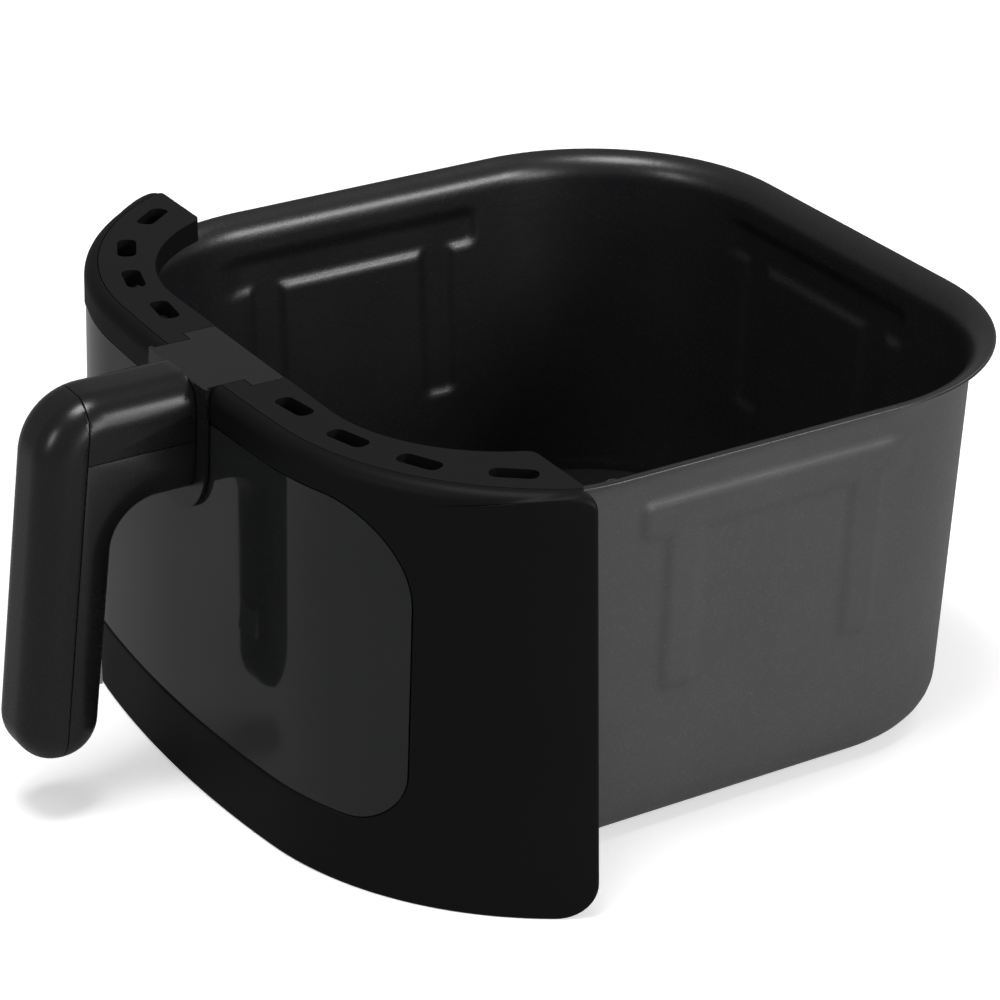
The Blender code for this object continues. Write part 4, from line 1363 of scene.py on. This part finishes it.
@dataclass
class Front(SubAssembly):
    """The curved outer cover with its big window, the pane, its seal and the liner behind."""

    wall: float = 0.0026
    shoulder: float = 0.0045
    ease: float = 0.0009
    foot_corner: float = 0.012
    head_corner: float = 0.0055
    window_half: float = 0.109
    window_low: float = 0.0245
    window_high: float = 0.1305
    window_low_radius: float = 0.020
    window_high_radius: float = 0.030
    pane_recess: float = 0.0004
    pitch: float = 0.13
    least_reach: float = 0.004
    rebate: tuple[Flat, ...] = ((0.0005, 0.0045), (0.0015, 0.0045))
    rebate_foot: float = 0.0035
    steps: tuple[int, int, int] = (44, 12, 26)
    face_rows: int = 22

    def window_half_outline(self) -> Profile:
        """The right half of the window's edge.

        Returns:
            Its points in X and Z, from its foot's middle to its head's middle.
        """
        level, corner, upright = self.steps
        right, low, high = self.window_half, self.window_low, self.window_high
        low_r, high_r = self.window_low_radius, self.window_high_radius
        points = along((0.0, low), (right - low_r, low), level)
        points += arc((right - low_r, low + low_r), low_r, -90, 0, corner)[:-1]
        points += along((right, low + low_r), (right, high - high_r), upright)
        points += arc((right - high_r, high - high_r), high_r, 0, 90, corner)[:-1]
        return points + along((right - high_r, high), (0.0, high), level) + [(0.0, high)]

    def outer_half_outline(self) -> tuple[Profile, list[float]]:
        """The right half of the cover's edge.

        Returns:
            Its (place round the plan, height) points in the order of the window's, and for each the share of
            the shoulder's profile that its edge takes.
        """
        level, corner, upright = self.steps
        foot, head, height, back = self.foot_corner, self.head_corner, FRONT.height, FRONT.back_edge
        edge = arc((back - foot, foot), foot, -90, 0, corner)
        edge = edge[:-1] + along((back, foot), (back, height - head), upright)
        edge += arc((back - head, height - head), head, 0, 90, corner)
        side = [(FRONT.across(z, 1, y), z) for y, z in edge]
        points = along((1.5, 0.0), side[0], level) + side[:-1]
        points += along(side[-1], (1.5, height), level) + [(1.5, height)]
        shares = [0.0] * (level + corner + upright)
        shares += [(i / corner) ** 2 * (3 - 2 * i / corner) for i in range(corner)] + [1.0] * (level + 1)
        return points, shares

    def edge_profiles(self) -> tuple[Profile, Profile]:
        """The profiles of the cover's edge.

        Returns:
            The plain edge and the shoulder, each as (distance from the edge, depth), from face to back.
        """
        quarter = [math.radians(90 * i / 8) for i in range(9)]
        r, wall, shoulder = self.ease, self.wall, self.shoulder
        plain = [(r - r * math.sin(a), r - r * math.cos(a)) for a in quarter]
        plain += [(r - r * math.cos(a), wall - r + r * math.sin(a)) for a in quarter[::2]]
        head = [(shoulder - shoulder * math.sin(a), shoulder - shoulder * math.cos(a)) for a in quarter]
        head += [*self.rebate, (wall, shoulder), (wall, self.rebate_foot), (wall, wall)]
        return plain, head

    def build_cover(self) -> None:
        """Builds the cover as rings from the window's edge out round the cover's edge and back inside."""
        window = [(FRONT.across(z, 0, x), z) for x, z in self.window_half_outline()]
        outer, shares = self.outer_half_outline()
        count = len(window)
        plain, head = self.edge_profiles()
        pitch = self.pitch

        def reach(k: int, line: Profile) -> float:
            """How far the face reaches from the window to the cover's edge at a column.

            Args:
                k: the column.
                line: the edge that the reach is measured square to.

            Returns:
                The distance, in metres.
            """
            before, after = line[max(k - 1, 0)], line[min(k + 1, count - 1)]
            tangent = Vector(((after[0] - before[0]) * pitch, after[1] - before[1])).normalized()
            across = Vector(((outer[k][0] - window[k][0]) * pitch, outer[k][1] - window[k][1]))
            return max(abs(across.cross(tangent)), self.least_reach)

        inner_reach = [reach(k, window) for k in range(count)]
        outer_reach = [reach(k, outer) for k in range(count)]
        rings = [[(e / inner_reach[k], d) for k in range(count)] for e, d in reversed(plain)]
        starts = [plain[0][0] / inner_reach[k] for k in range(count)]
        pairs = list(zip(plain, head))
        edge = [
            [(e0 + (e1 - e0) * share, d0 + (d1 - d0) * share) for (e0, d0), (e1, d1) in pairs]
            for share in shares
        ]
        ends = [1 - edge[k][0][0] / outer_reach[k] for k in range(count)]
        for row in range(1, self.face_rows):
            share = row / self.face_rows
            rings.append([(starts[k] + (ends[k] - starts[k]) * share, 0.0) for k in range(count)])
        for j in range(len(plain)):
            rings.append([(1 - edge[k][j][0] / outer_reach[k], edge[k][j][1]) for k in range(count)])
        ends = [rings[-1][k][0] for k in range(count)]
        for row in range(self.face_rows - 1, 0, -1):
            share = row / self.face_rows
            rings.append([(starts[k] + (ends[k] - starts[k]) * share, self.wall) for k in range(count)])
        solid = []
        for ring in rings:
            right = []
            for k, (t, d) in enumerate(ring):
                q = window[k][0] + (outer[k][0] - window[k][0]) * t
                z = window[k][1] + (outer[k][1] - window[k][1]) * t
                right.append(FRONT.point(q, z, d))
            solid.append(right + [Vector((-p.x, p.y, p.z)) for p in right[-2:0:-1]])
        mesh = lofted("cover", solid, caps=False)
        mesh = cut(mesh, self.tab(), "UNION")
        mesh = cut(mesh, TopFrame().tongue_solid(GAP, PAN.height + GAP / 2, FRONT.height + THROUGH))
        self.hand_over(mesh, "drawer_front_cover", ["front_cover"], Slot.MATTE)

    def tab(self) -> bpy.types.Mesh:
        """The tab that hangs into the window behind the handle's root plate.

        Returns:
            The tab, a little inside the cover's faces.
        """
        half, low = RootPlate().half - BIB_LAP, RootPlate().low + BIB_LAP
        head = self.window_high + 0.0015
        columns = [half * math.sin(math.radians(a)) for a in range(-90, 91, 9)]
        rows = [(x, low + half - math.sqrt(max(half**2 - x**2, 0.0)), head) for x in columns]
        return skin("tab", rows, 12, 0.00005, self.wall - 0.00005)

    def pane_rows(self) -> list[tuple[float, float, float]]:
        """The pane's columns, with a notch round the cover's tab.

        Returns:
            Each column's x, foot and head.
        """
        right = self.window_half - GAP
        low, high = self.window_low + GAP, self.window_high - GAP
        low_r, high_r = self.window_low_radius - GAP, self.window_high_radius - GAP
        notch = RootPlate().half - BIB_LAP + GAP
        notch_low = RootPlate().low + BIB_LAP - GAP
        stations = [notch * math.sin(math.radians(a)) for a in range(0, 91, 6)]
        stations += [notch + (right - high_r - notch) * i / 40 for i in range(1, 41)]
        stations += [right - high_r + high_r * math.sin(math.radians(a)) for a in range(3, 91, 3)]
        columns = []
        for x in stations:
            foot = low + low_r - math.sqrt(max(low_r**2 - max(x - right + low_r, 0.0) ** 2, 0.0))
            top = high - high_r + math.sqrt(max(high_r**2 - max(x - right + high_r, 0.0) ** 2, 0.0))
            if x <= notch:
                top = notch_low + notch - math.sqrt(max(notch**2 - x**2, 0.0))
            columns.append((x, foot, top))
            if x == notch:
                columns.append((x + 0.00002, foot, high))
        return [(-x, low_z, high_z) for x, low_z, high_z in columns[:0:-1]] + columns

    def build(self) -> None:
        """Builds the cover and the pane, and dresses the seal and the liner."""
        self.build_cover()
        pane = skin("pane", self.pane_rows(), 48, self.pane_recess, self.wall)
        self.hand_over(pane, "smoked_window_pane", ["window_pane"], Slot.SMOKED, smooth=50.0)
        self.dress(["window_seal"], Slot.SILICONE)
        self.dress(["rear_liner"], Slot.MATTE)


def skin(
    name: str, columns: Sequence[tuple[float, float, float]], rows: int, outer: float, inner: float
) -> bpy.types.Mesh:
    """A skin that follows the front's face.

    Args:
        name: the mesh's name.
        columns: for each column its x, its foot's height and its head's height.
        rows: how many steps a column takes.
        outer: how far inside the face its outer side lies.
        inner: how far inside the face its inner side lies.

    Returns:
        The mesh.
    """
    sides = []
    for inset in (outer, inner):
        grid = []
        for row in range(rows + 1):
            share = row / rows
            grid.append([FRONT.at(x, low + (high - low) * share, inset) for x, low, high in columns])
        sides.append(grid)
    return shelled(name, *sides)


# ---- top frame ------------------------------------------------------------------------------------


@dataclass
class TopFrame(SubAssembly):
    """The channel moulding over the pan's front rim, with its slots."""

    wall: float = 0.0022
    overhang: float = 0.0045
    skirt: float = 0.010
    slot_size: tuple[float, float] = (0.015, 0.0064)
    slots: tuple[tuple[float, float, float], ...] = (
        (0.0816, 0.0053, 7.0),
        (0.0533, 0.0085, 16.0),
        (0.0284, 0.0183, 26.0),
        (0.0073, 0.0382, 52.0),
    )
    tongue_half: float = 0.0233
    waist_half: float = 0.018
    step_in: float = 0.0018
    end_radius: float = 0.0032
    slot_depth: float = 0.0052
    tongue_lead: float = 0.0013

    def outer_edge(self, inset: float) -> Profile:
        """The frame's outer edge at the front's head.

        Args:
            inset: how far inside the cover's face it lies.

        Returns:
            Its points, from right to left.
        """
        level = FRONT.height
        start = FRONT.across(level, 1, FRONT.back_edge - GAP - (inset - self.edge), inset)
        return [FRONT.point(start + (3 - 2 * start) * i / 120, level, inset).to_2d() for i in range(121)]

    def inner_edge(self, inset: float, end: float) -> Profile:
        """The frame's inner edge.

        Args:
            inset: how far inside the rim's edge it lies.
            end: how far back it goes.

        Returns:
            Its points, from left to right.
        """
        points = [point for point in PAN.outline(inset, 40) if point[1] < end]
        points.sort(key=lambda point: math.atan2(point[0], -point[1]))
        half = PAN.half - inset
        corner = PAN.corner - inset
        x = half - corner + math.sqrt(max(corner**2 - (end + half - corner) ** 2, 0.0))
        return [(-x, end), *points, (x, end)]

    @property
    def edge(self) -> float:
        """How far inside the cover's face the frame's outer edge lies."""
        return Front().shoulder + GAP

    def ring(self, outer: float, inner: float, end: float) -> Profile:
        """A closed outline between the frame's outer and inner edges."""
        outline = [tuple(p) for p in self.outer_edge(outer)] + self.inner_edge(inner, end)
        return softened(outline, self.end_radius)

    def tongue_outline(self, grow: float) -> Profile:
        """The handle's tongue: a narrow waist in front, then a step out to its back.

        Args:
            grow: the gap round it, for the way that is cut for it, or 0 for the tongue itself.

        Returns:
            Its closed outline.
        """
        back = -(PAN.half - PAN.flare - PAN.sheet - self.overhang) + (THROUGH if grow else -GAP)
        front = FRONT.front_at(FRONT.height) - (THROUGH if grow else GAP + self.tongue_lead)
        wide, waist = self.tongue_half + grow, self.waist_half + grow
        step = self.step_in - PAN.half - grow
        right = [(waist, front), (waist, step), (wide, step), (wide, back)]
        return right + [(-x, y) for x, y in reversed(right)]

    def tongue_solid(self, grow: float, low: float, high: float) -> bpy.types.Mesh:
        """The tongue, or its way with grow, between two heights."""
        return lofted("tongue", [[(x, y, z) for x, y in self.tongue_outline(grow)] for z in (low, high)])

    def build(self) -> None:
        """Builds the frame: its top plate with the punched slots, and the two walls of its channel."""
        low, top = PAN.height - self.skirt, FRONT.height
        end = FRONT.back_edge - GAP
        inner = PAN.flare + PAN.sheet + self.overhang
        blank = sheet_cut("frame", [self.ring(self.edge, inner, end)], low, top)
        channel = sheet_cut(
            "channel",
            [self.ring(self.edge + self.wall, inner - self.wall, end - self.wall)],
            low - THROUGH,
            top - self.slot_depth,
        )
        mesh = cut(blank, channel)
        rim = sheet_cut("rim", [PAN.outline(-2 * GAP, 40)], low - THROUGH, PAN.height + GAP)
        mesh = cut(mesh, rim)
        mesh = cut(mesh, self.tongue_solid(GAP, PAN.height + GAP / 2, top + THROUGH))
        length, width = self.slot_size
        outline = rounded(length / 2, -width / 2, width / 2, width * 0.42, width * 0.42, 8)
        solid = sheet_cut("slot", [outline], top - self.slot_depth - 0.001, top + THROUGH)
        places = []
        for in_x, in_y, turn in self.slots:
            for side in (-1, 1):
                spot = (side * (PAN.half - in_x), in_y - PAN.half, 0.0)
                places.append((spot, (0.0, 0.0, math.radians(side * turn))))
        # The frame's own copy of the matte plastic is toned partly as painted light and shade.
        mesh = PUNCH.run(solid, places, FINISHES.get("frame_moulding"), mesh)
        mesh = eased(mesh, 0.0009, 3)
        self.hand_over(mesh, "slotted_top_frame", ["top_frame"], Slot.MATTE, ["frame_moulding"])


# ---- handle ---------------------------------------------------------------------------------------


@dataclass
class RootPlate(SubAssembly):
    """The plate at the handle's root: a bib on the cover's face and a tongue over its shoulder."""

    half: float = 0.0195
    low: float = 0.096
    thickness: float = 0.0012

    def build(self) -> None:
        """Builds the plate."""
        columns = [self.half * math.sin(math.radians(a)) for a in range(-90, 91, 5)]
        middle = self.low + self.half
        rows = [(x, middle - math.sqrt(max(self.half**2 - x**2, 0.0)), FRONT.height) for x in columns]
        mesh = skin("bib", rows, 30, -GAP - self.thickness, -GAP)
        tongue = TopFrame().tongue_solid(0.0, PAN.height + 2 * GAP, FRONT.height - 0.00002)
        mesh = eased(cut(mesh, tongue, "UNION"), 0.0004, 3)
        self.hand_over(mesh, "handle_root_plate", ["root_plate"], Slot.SATIN)


@dataclass
class Handle(SubAssembly):
    """The neck and the hanging grip, parted by fine seams into a core, a neck cover and a grip cover."""

    reach: float = 0.2025
    width: float = 0.028
    edge: float = 0.0105
    thickness: float = 0.028
    drop: float = 0.1135
    tilt: float = 0.015
    outer_radius: float = 0.022
    foot_radius: float = 0.0135
    neck_top: float = 0.009
    neck_depth: float = 0.039
    fillet: float = 0.016
    grip_cover: float = 0.0145
    neck_cover: float = 0.020
    seam_ease: float = 0.00045
    longest: float = 0.004

    @property
    def lean(self) -> float:
        """How far the grip leans, in radians."""
        return math.atan(self.tilt / (self.drop + self.neck_top))

    def grip_front(self, z: float) -> float:
        """y of the grip's outer face at a height."""
        return -self.reach + self.tilt * (z - (PAN.height - self.drop)) / (self.drop + self.neck_top)

    def behind(self, depth: float, z: float) -> Flat:
        """A point square behind the grip's outer face."""
        return (self.grip_front(z) + depth / math.cos(self.lean), z)

    def outline(self, inset: float) -> Profile:
        """The handle from the side.

        Args:
            inset: how far the outline is moved inwards.

        Returns:
            Its closed outline in Y and Z.
        """
        top, foot = PAN.height + self.neck_top, PAN.height - self.drop
        under = top - self.neck_depth
        lean = math.degrees(self.lean)
        root = -FRONT.foot.reach + 4 * self.edge
        outer, sole, fillet = self.outer_radius, self.foot_radius, self.fillet
        points = [(root, under + inset), (root, top - inset)]
        points += arc(self.behind(outer, top - outer), outer - inset, 90, 180 - lean, 20)
        points += arc(self.behind(sole, foot + sole), sole - inset, 180 - lean, 270, 14)
        points += arc(self.behind(self.thickness - sole, foot + sole), sole - inset, 270, 360 - lean, 14)
        crook = self.behind(self.thickness + fillet, under - fillet)
        return points + arc(crook, fillet + inset, 180 - lean, 90, 16)

    def rings(self) -> list[list[tuple[float, float, float]]]:
        """The handle's side outline swept across, drawn in towards both sides.

        Returns:
            The rings, from left to right.
        """
        flat = self.width / 2 - self.edge
        turns = [math.radians(90 * i / 14) for i in range(15)]
        sides = [(flat + self.edge * math.sin(a), self.edge * (1 - math.cos(a))) for a in turns]
        sides = [(-x, inset) for x, inset in reversed(sides)] + sides
        steps = self.split_counts()
        rings = []
        for x, inset in sides:
            outline = self.outline(inset)
            ring: list[tuple[float, float, float]] = []
            for here, after, count in zip(outline, outline[1:] + outline[:1], steps):
                ring += [(x, y, z) for y, z in along(here, after, count)]
            rings.append(ring)
        return rings

    def split_counts(self) -> list[int]:
        """How many steps each side of the outline takes, the same at every inset.

        Returns:
            One count for each side.
        """
        outline = self.outline(0.0)
        sides = zip(outline, outline[1:] + outline[:1])
        return [max(1, math.ceil(math.dist(here, after) / self.longest)) for here, after in sides]

    def part(self, mesh: bpy.types.Mesh, point: Sequence[float], normal: Sequence[float]) -> bpy.types.Mesh:
        """Keeps what lies behind a plane, with a face over the cut.

        Args:
            mesh: the mesh, which is left as it is.
            point: a point of the plane.
            normal: the plane's normal, towards what is cut away.

        Returns:
            The part that is kept.
        """
        shape = bmesh.new()
        shape.from_mesh(mesh)
        geometry = shape.verts[:] + shape.edges[:] + shape.faces[:]
        plane = {"plane_co": point, "plane_no": normal, "clear_outer": True}
        found = bmesh.ops.bisect_plane(shape, geom=geometry, **plane)
        edges = [item for item in found["geom_cut"] if isinstance(item, bmesh.types.BMEdge)]
        bmesh.ops.contextual_create(shape, geom=edges)
        return settled(shape, mesh.name)

    def build(self) -> None:
        """Builds the three mouldings."""
        whole = lofted("handle", self.rings())
        near = FRONT.front_at(0.0) - 2 * GAP - RootPlate().thickness
        rise = (FRONT.front_at(FRONT.height) - FRONT.front_at(0.0)) / FRONT.height
        whole = self.part(whole, (0, near, 0), (0, 1, -rise))
        slope = self.tilt / (self.drop + self.neck_top)
        split = PAN.height + self.neck_top - self.neck_cover
        seam = self.grip_front(0.0) + self.grip_cover
        half = GAP / 2
        grip = self.part(whole, (0, seam - half, 0), (0, 1, -slope))
        rest = self.part(whole, (0, seam + half, 0), (0, -1, slope))
        neck = self.part(rest, (0, 0, split + half), (0, 0, -1))
        core = self.part(rest, (0, 0, split - half), (0, 0, 1))
        for mesh, name, node in (
            (grip, "hanging_grip_cover", "grip_cover"),
            (neck, "handle_neck_cover", "neck_cover"),
            (core, "handle_core_moulding", "handle_core"),
        ):
            self.hand_over(eased(mesh, self.seam_ease, 2, 55.0, False), name, [node], Slot.SATIN, smooth=40.0)
        self.dress(["handle_spine"], Slot.STEEL)


@dataclass
class Fixings(SubAssembly):
    """The steel bracket, its rivets and the two long bolts that carry the handle."""

    rivet_radius: float = 0.002
    rivet_head: float = 0.004
    dome: float = 0.0018
    tail: float = 0.001

    def build(self) -> None:
        """Builds the rivets, and dresses the bracket and the bolts."""
        self.dress(["handle_bracket", "handle_bolt_left", "handle_bolt_right"], Slot.STEEL)
        names = named_by_place("bracket_rivet", ("low", "high"))
        low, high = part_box(names[0])
        head, shank, dome, tail = self.rivet_head, self.rivet_radius, self.dome, self.tail
        grip = high.y - low.y - tail - dome
        angles = [math.radians(15 * i) for i in range(7)]
        profile = [(0, grip + dome)]
        profile += [(head * math.sin(a), grip + dome * math.cos(a)) for a in angles[1:]]
        profile += [(shank, grip), (shank, 0)]
        profile += [(head * math.cos(a), -tail * math.sin(a)) for a in angles[:-1]]
        profile += [(0, -tail)]
        places = []
        for name in names:
            low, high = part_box(name)
            spot = ((low.x + high.x) / 2, high.y - tail - PAN_CENTRE_Y, (low.z + high.z) / 2)
            places.append((spot, (0.0, 0.0, 0.0)))
        mesh = COPIER.run(turned("rivet", profile, 24, "Y"), places, FINISHES.get(Slot.STEEL))
        self.hand_over(mesh, "bracket_rivets", names, Slot.STEEL)


# ---- crisper plate --------------------------------------------------------------------------------


@dataclass
class Crisper(SubAssembly):
    """The perforated plate that lifts out of the pan, on four silicone feet."""

    body: Body = Body.CRISPER
    clearance: float = 0.0035
    height: float = 0.012
    sheet: float = 0.0012
    lip: float = 0.004
    hole_radius: float = 0.0045
    hole_pitch: float = 0.027
    edge_radius: float = 0.002
    foot_radius: float = 0.005
    peg_radius: float = 0.0025
    button: Flat = (0.0045, 0.0015)
    foot_ease: float = 0.0006

    @property
    def inset(self) -> float:
        """How far the plate's edge lies inside the rim's edge."""
        return PAN.wall_inset(self.height) + PAN.sheet + self.clearance

    def rows(self) -> Profile:
        """The plate's rows, over its rolled edge and back under it.

        Returns:
            Each row's inset and height.
        """
        r, edge, sheet, top = self.edge_radius, self.inset, self.sheet, self.height
        angles = [math.radians(15 * i) for i in range(7)]
        over = [(edge + r - r * math.sin(a), top - r + r * math.cos(a)) for a in angles]
        under = [(edge + r - (r - sheet) * math.cos(a), top - r + (r - sheet) * math.sin(a)) for a in angles]
        foot = top - self.lip
        return over + [(edge, foot + 0.0004), (edge + 0.0004, foot), (edge + sheet, foot)] + under

    def build(self) -> None:
        """Builds the plate, with its holes punched, and its feet."""
        columns = PAN.columns(6, 20)
        rings = []
        for inset, z in self.rows():
            rings.append([(*PAN.spot(column, inset), PAN.sheet + z) for column in columns])
        plate = lofted("plate", rings)
        radius = self.hole_radius
        reach = int((PAN.half - self.inset - radius) // self.hole_pitch)
        solid = turned("hole", [(0, 0.02), (radius, 0.02), (radius, 0.004), (0, 0.004)], 20)
        places = [
            ((column * self.hole_pitch, row * self.hole_pitch, PAN.sheet), (0.0, 0.0, 0.0))
            for row in range(-reach, reach + 1)
            for column in range(-reach, reach + 1)
            if abs(row) + abs(column) <= 2 * reach - 2
        ]
        # The tray takes the darker copy of the coating: painted shade inside the pan.
        mesh = PUNCH.run(solid, places, FINISHES.get("shaded_inner_coating"), plate)
        self.hand_over(mesh, "crisper_tray", ["crisper_plate"], Slot.COATING, ["shaded_inner_coating"], 40.0)
        self.build_feet()

    def build_feet(self) -> None:
        """Builds the four feet, each with a button over the plate."""
        names = named_by_place("crisper_foot", ("front", "back"))
        top, above = self.height - self.sheet - GAP, self.height + GAP
        radius, button, ease = self.foot_radius, self.button, self.foot_ease
        angles = [math.radians(15 * i) for i in range(7)]
        profile = [(button[0] * math.sin(a), above + button[1] * math.cos(a)) for a in angles]
        profile += [(self.peg_radius, above), (self.peg_radius, top), (radius - ease, top)]
        profile += [(radius, top - ease), (radius, 4 * GAP), (radius - 3 * GAP, GAP), (0, GAP)]
        places = []
        for name in names:
            low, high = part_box(name)
            spot = ((low.x + high.x) / 2, (low.y + high.y) / 2 - PAN_CENTRE_Y, PAN.sheet)
            places.append((spot, (0.0, 0.0, 0.0)))
        mesh = COPIER.run(turned("foot", profile, 28), places, FINISHES.get(Slot.SILICONE))
        self.hand_over(mesh, "crisper_feet", names, Slot.SILICONE)


# ---- studio ---------------------------------------------------------------------------------------


@dataclass(frozen=True)
class Panel:
    """One soft panel of light that faces the object: where it hangs, its width and height, and its watts."""

    name: str
    spot: tuple[float, float, float]
    size: Flat
    watts: float

    def hang(self) -> None:
        """Hangs the panel."""
        light = bpy.data.lights.new(self.name, "AREA")
        light.shape = "RECTANGLE"
        light.size, light.size_y = self.size
        light.energy = self.watts
        lamp = bpy.data.objects.new(self.name, light)
        bpy.context.scene.collection.objects.link(lamp)
        lamp.location = self.spot
        away = Vector((0, 0, 0.08)) - Vector(self.spot)
        lamp.rotation_euler = away.to_track_quat("-Z", "Y").to_euler()
        lamp.visible_camera = False


@dataclass
class Studio:
    """A pale floor, soft panels of light and the camera."""

    azimuth: float = 58.38
    elevation: float = 26.18
    roll: float = 0.29
    distance: float = 1.20024
    focal: float = 131.145
    aim: tuple[float, float] = (-0.01629, -0.06502)
    floor_half: float = 6.0
    floor_glow: float = 0.38
    room_light: float = 0.24
    panels: tuple[Panel, ...] = (
        Panel("top_panel", (0.1, -0.3, 1.9), (0.7, 0.7), 26.0),
        Panel("right_panel", (1.75, 1.1, 1.1), (0.45, 0.7), 26.0),
        Panel("side_panel", (2.6, 0.5, 0.7), (0.9, 1.2), 22.0),
        Panel("rear_panel", (-0.6, 1.9, 1.7), (1.0, 0.6), 9.0),
        Panel("front_panel", (0.3, -2.3, 1.3), (0.4, 0.8), 12.0),
    )

    def build_floor(self) -> None:
        """Lays the floor, with its reflections in glossy surfaces painted darker."""
        shape = bmesh.new()
        bmesh.ops.create_grid(shape, x_segments=1, y_segments=1, size=self.floor_half)
        floor = holder_of(settled(shape, "studio_floor", outwards=False))
        paint = Paint("pale_floor")
        # Painted reflection: the floor's colour and glow drop to a quarter where glossy surfaces reflect it.
        reflection_dimming = 1 - 0.75 * paint.node("ShaderNodeLightPath", {}, {}, "Is Glossy Ray")
        pale = paint.blend(reflection_dimming * (0.9 + 0.1 * paint.clouds(0.4)), (0.02, 0.02, 0.02), (0.84, 0.84, 0.84))
        glow = paint.blend(reflection_dimming, (0.0, 0.0, 0.0), (1.0, 1.0, 1.0))
        paint.surface({"Base Color": pale, "Roughness": 0.85, "Specular IOR Level": 0.1})
        paint.surface({"Emission Color": glow, "Emission Strength": self.floor_glow})
        floor.data.materials.append(paint.material)

    def build_world(self) -> None:
        """Lights the room: white where the camera looks past the object, dimmer as a source of light."""
        world = bpy.data.worlds.new("studio")
        bpy.context.scene.world = world
        world.use_nodes = True
        nodes, links = world.node_tree.nodes, world.node_tree.links
        ground = nodes["Background"]
        ground.inputs["Color"].default_value = (1.0, 1.0, 1.0, 1.0)
        rays = nodes.new("ShaderNodeLightPath")
        level = nodes.new("ShaderNodeMapRange")
        level.inputs["To Min"].default_value = self.room_light
        level.inputs["To Max"].default_value = 1.0
        links.new(rays.outputs["Is Camera Ray"], level.inputs["Value"])
        links.new(level.outputs["Result"], ground.inputs["Strength"])

    def build_camera(self) -> None:
        """Sets the camera."""
        azimuth, elevation, roll = (math.radians(a) for a in (self.azimuth, self.elevation, self.roll))
        level = math.cos(elevation)
        back = Vector((math.sin(azimuth) * level, -math.cos(azimuth) * level, math.sin(elevation)))
        right = (-back).cross(Vector((0, 0, 1))).normalized()
        up = right.cross(-back)
        rolled = (right * math.cos(roll) + up * math.sin(roll), up * math.cos(roll) - right * math.sin(roll))
        place = Matrix((*rolled, back)).transposed().to_4x4()
        target = Vector((0, PAN_CENTRE_Y, PAN.height)) + right * self.aim[0] + up * self.aim[1]
        place.translation = target + back * self.distance
        lens = bpy.data.cameras.new("camera")
        lens.lens = self.focal
        lens.sensor_width = 36.0
        camera = bpy.data.objects.new("camera", lens)
        bpy.context.scene.collection.objects.link(camera)
        camera.matrix_world = place
        bpy.context.scene.camera = camera

    def build(self) -> None:
        """Builds the whole studio."""
        self.build_camera()
        self.build_floor()
        self.build_world()
        for panel in self.panels:
            panel.hang()
        bpy.context.scene.view_settings.view_transform = "Standard"


def main() -> None:
    """Builds the studio and every sub-assembly in order."""
    logging.basicConfig(level=logging.INFO, format="%(name)s: %(message)s")
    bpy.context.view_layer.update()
    Studio().build()
    pan = Pan()
    pan.build()
    InnerWindow().build(pan)
    Front().build()
    TopFrame().build()
    RootPlate().build()
    Handle().build()
    Fixings().build()
    Crisper().build()


if __name__ == "__main__":
    main()
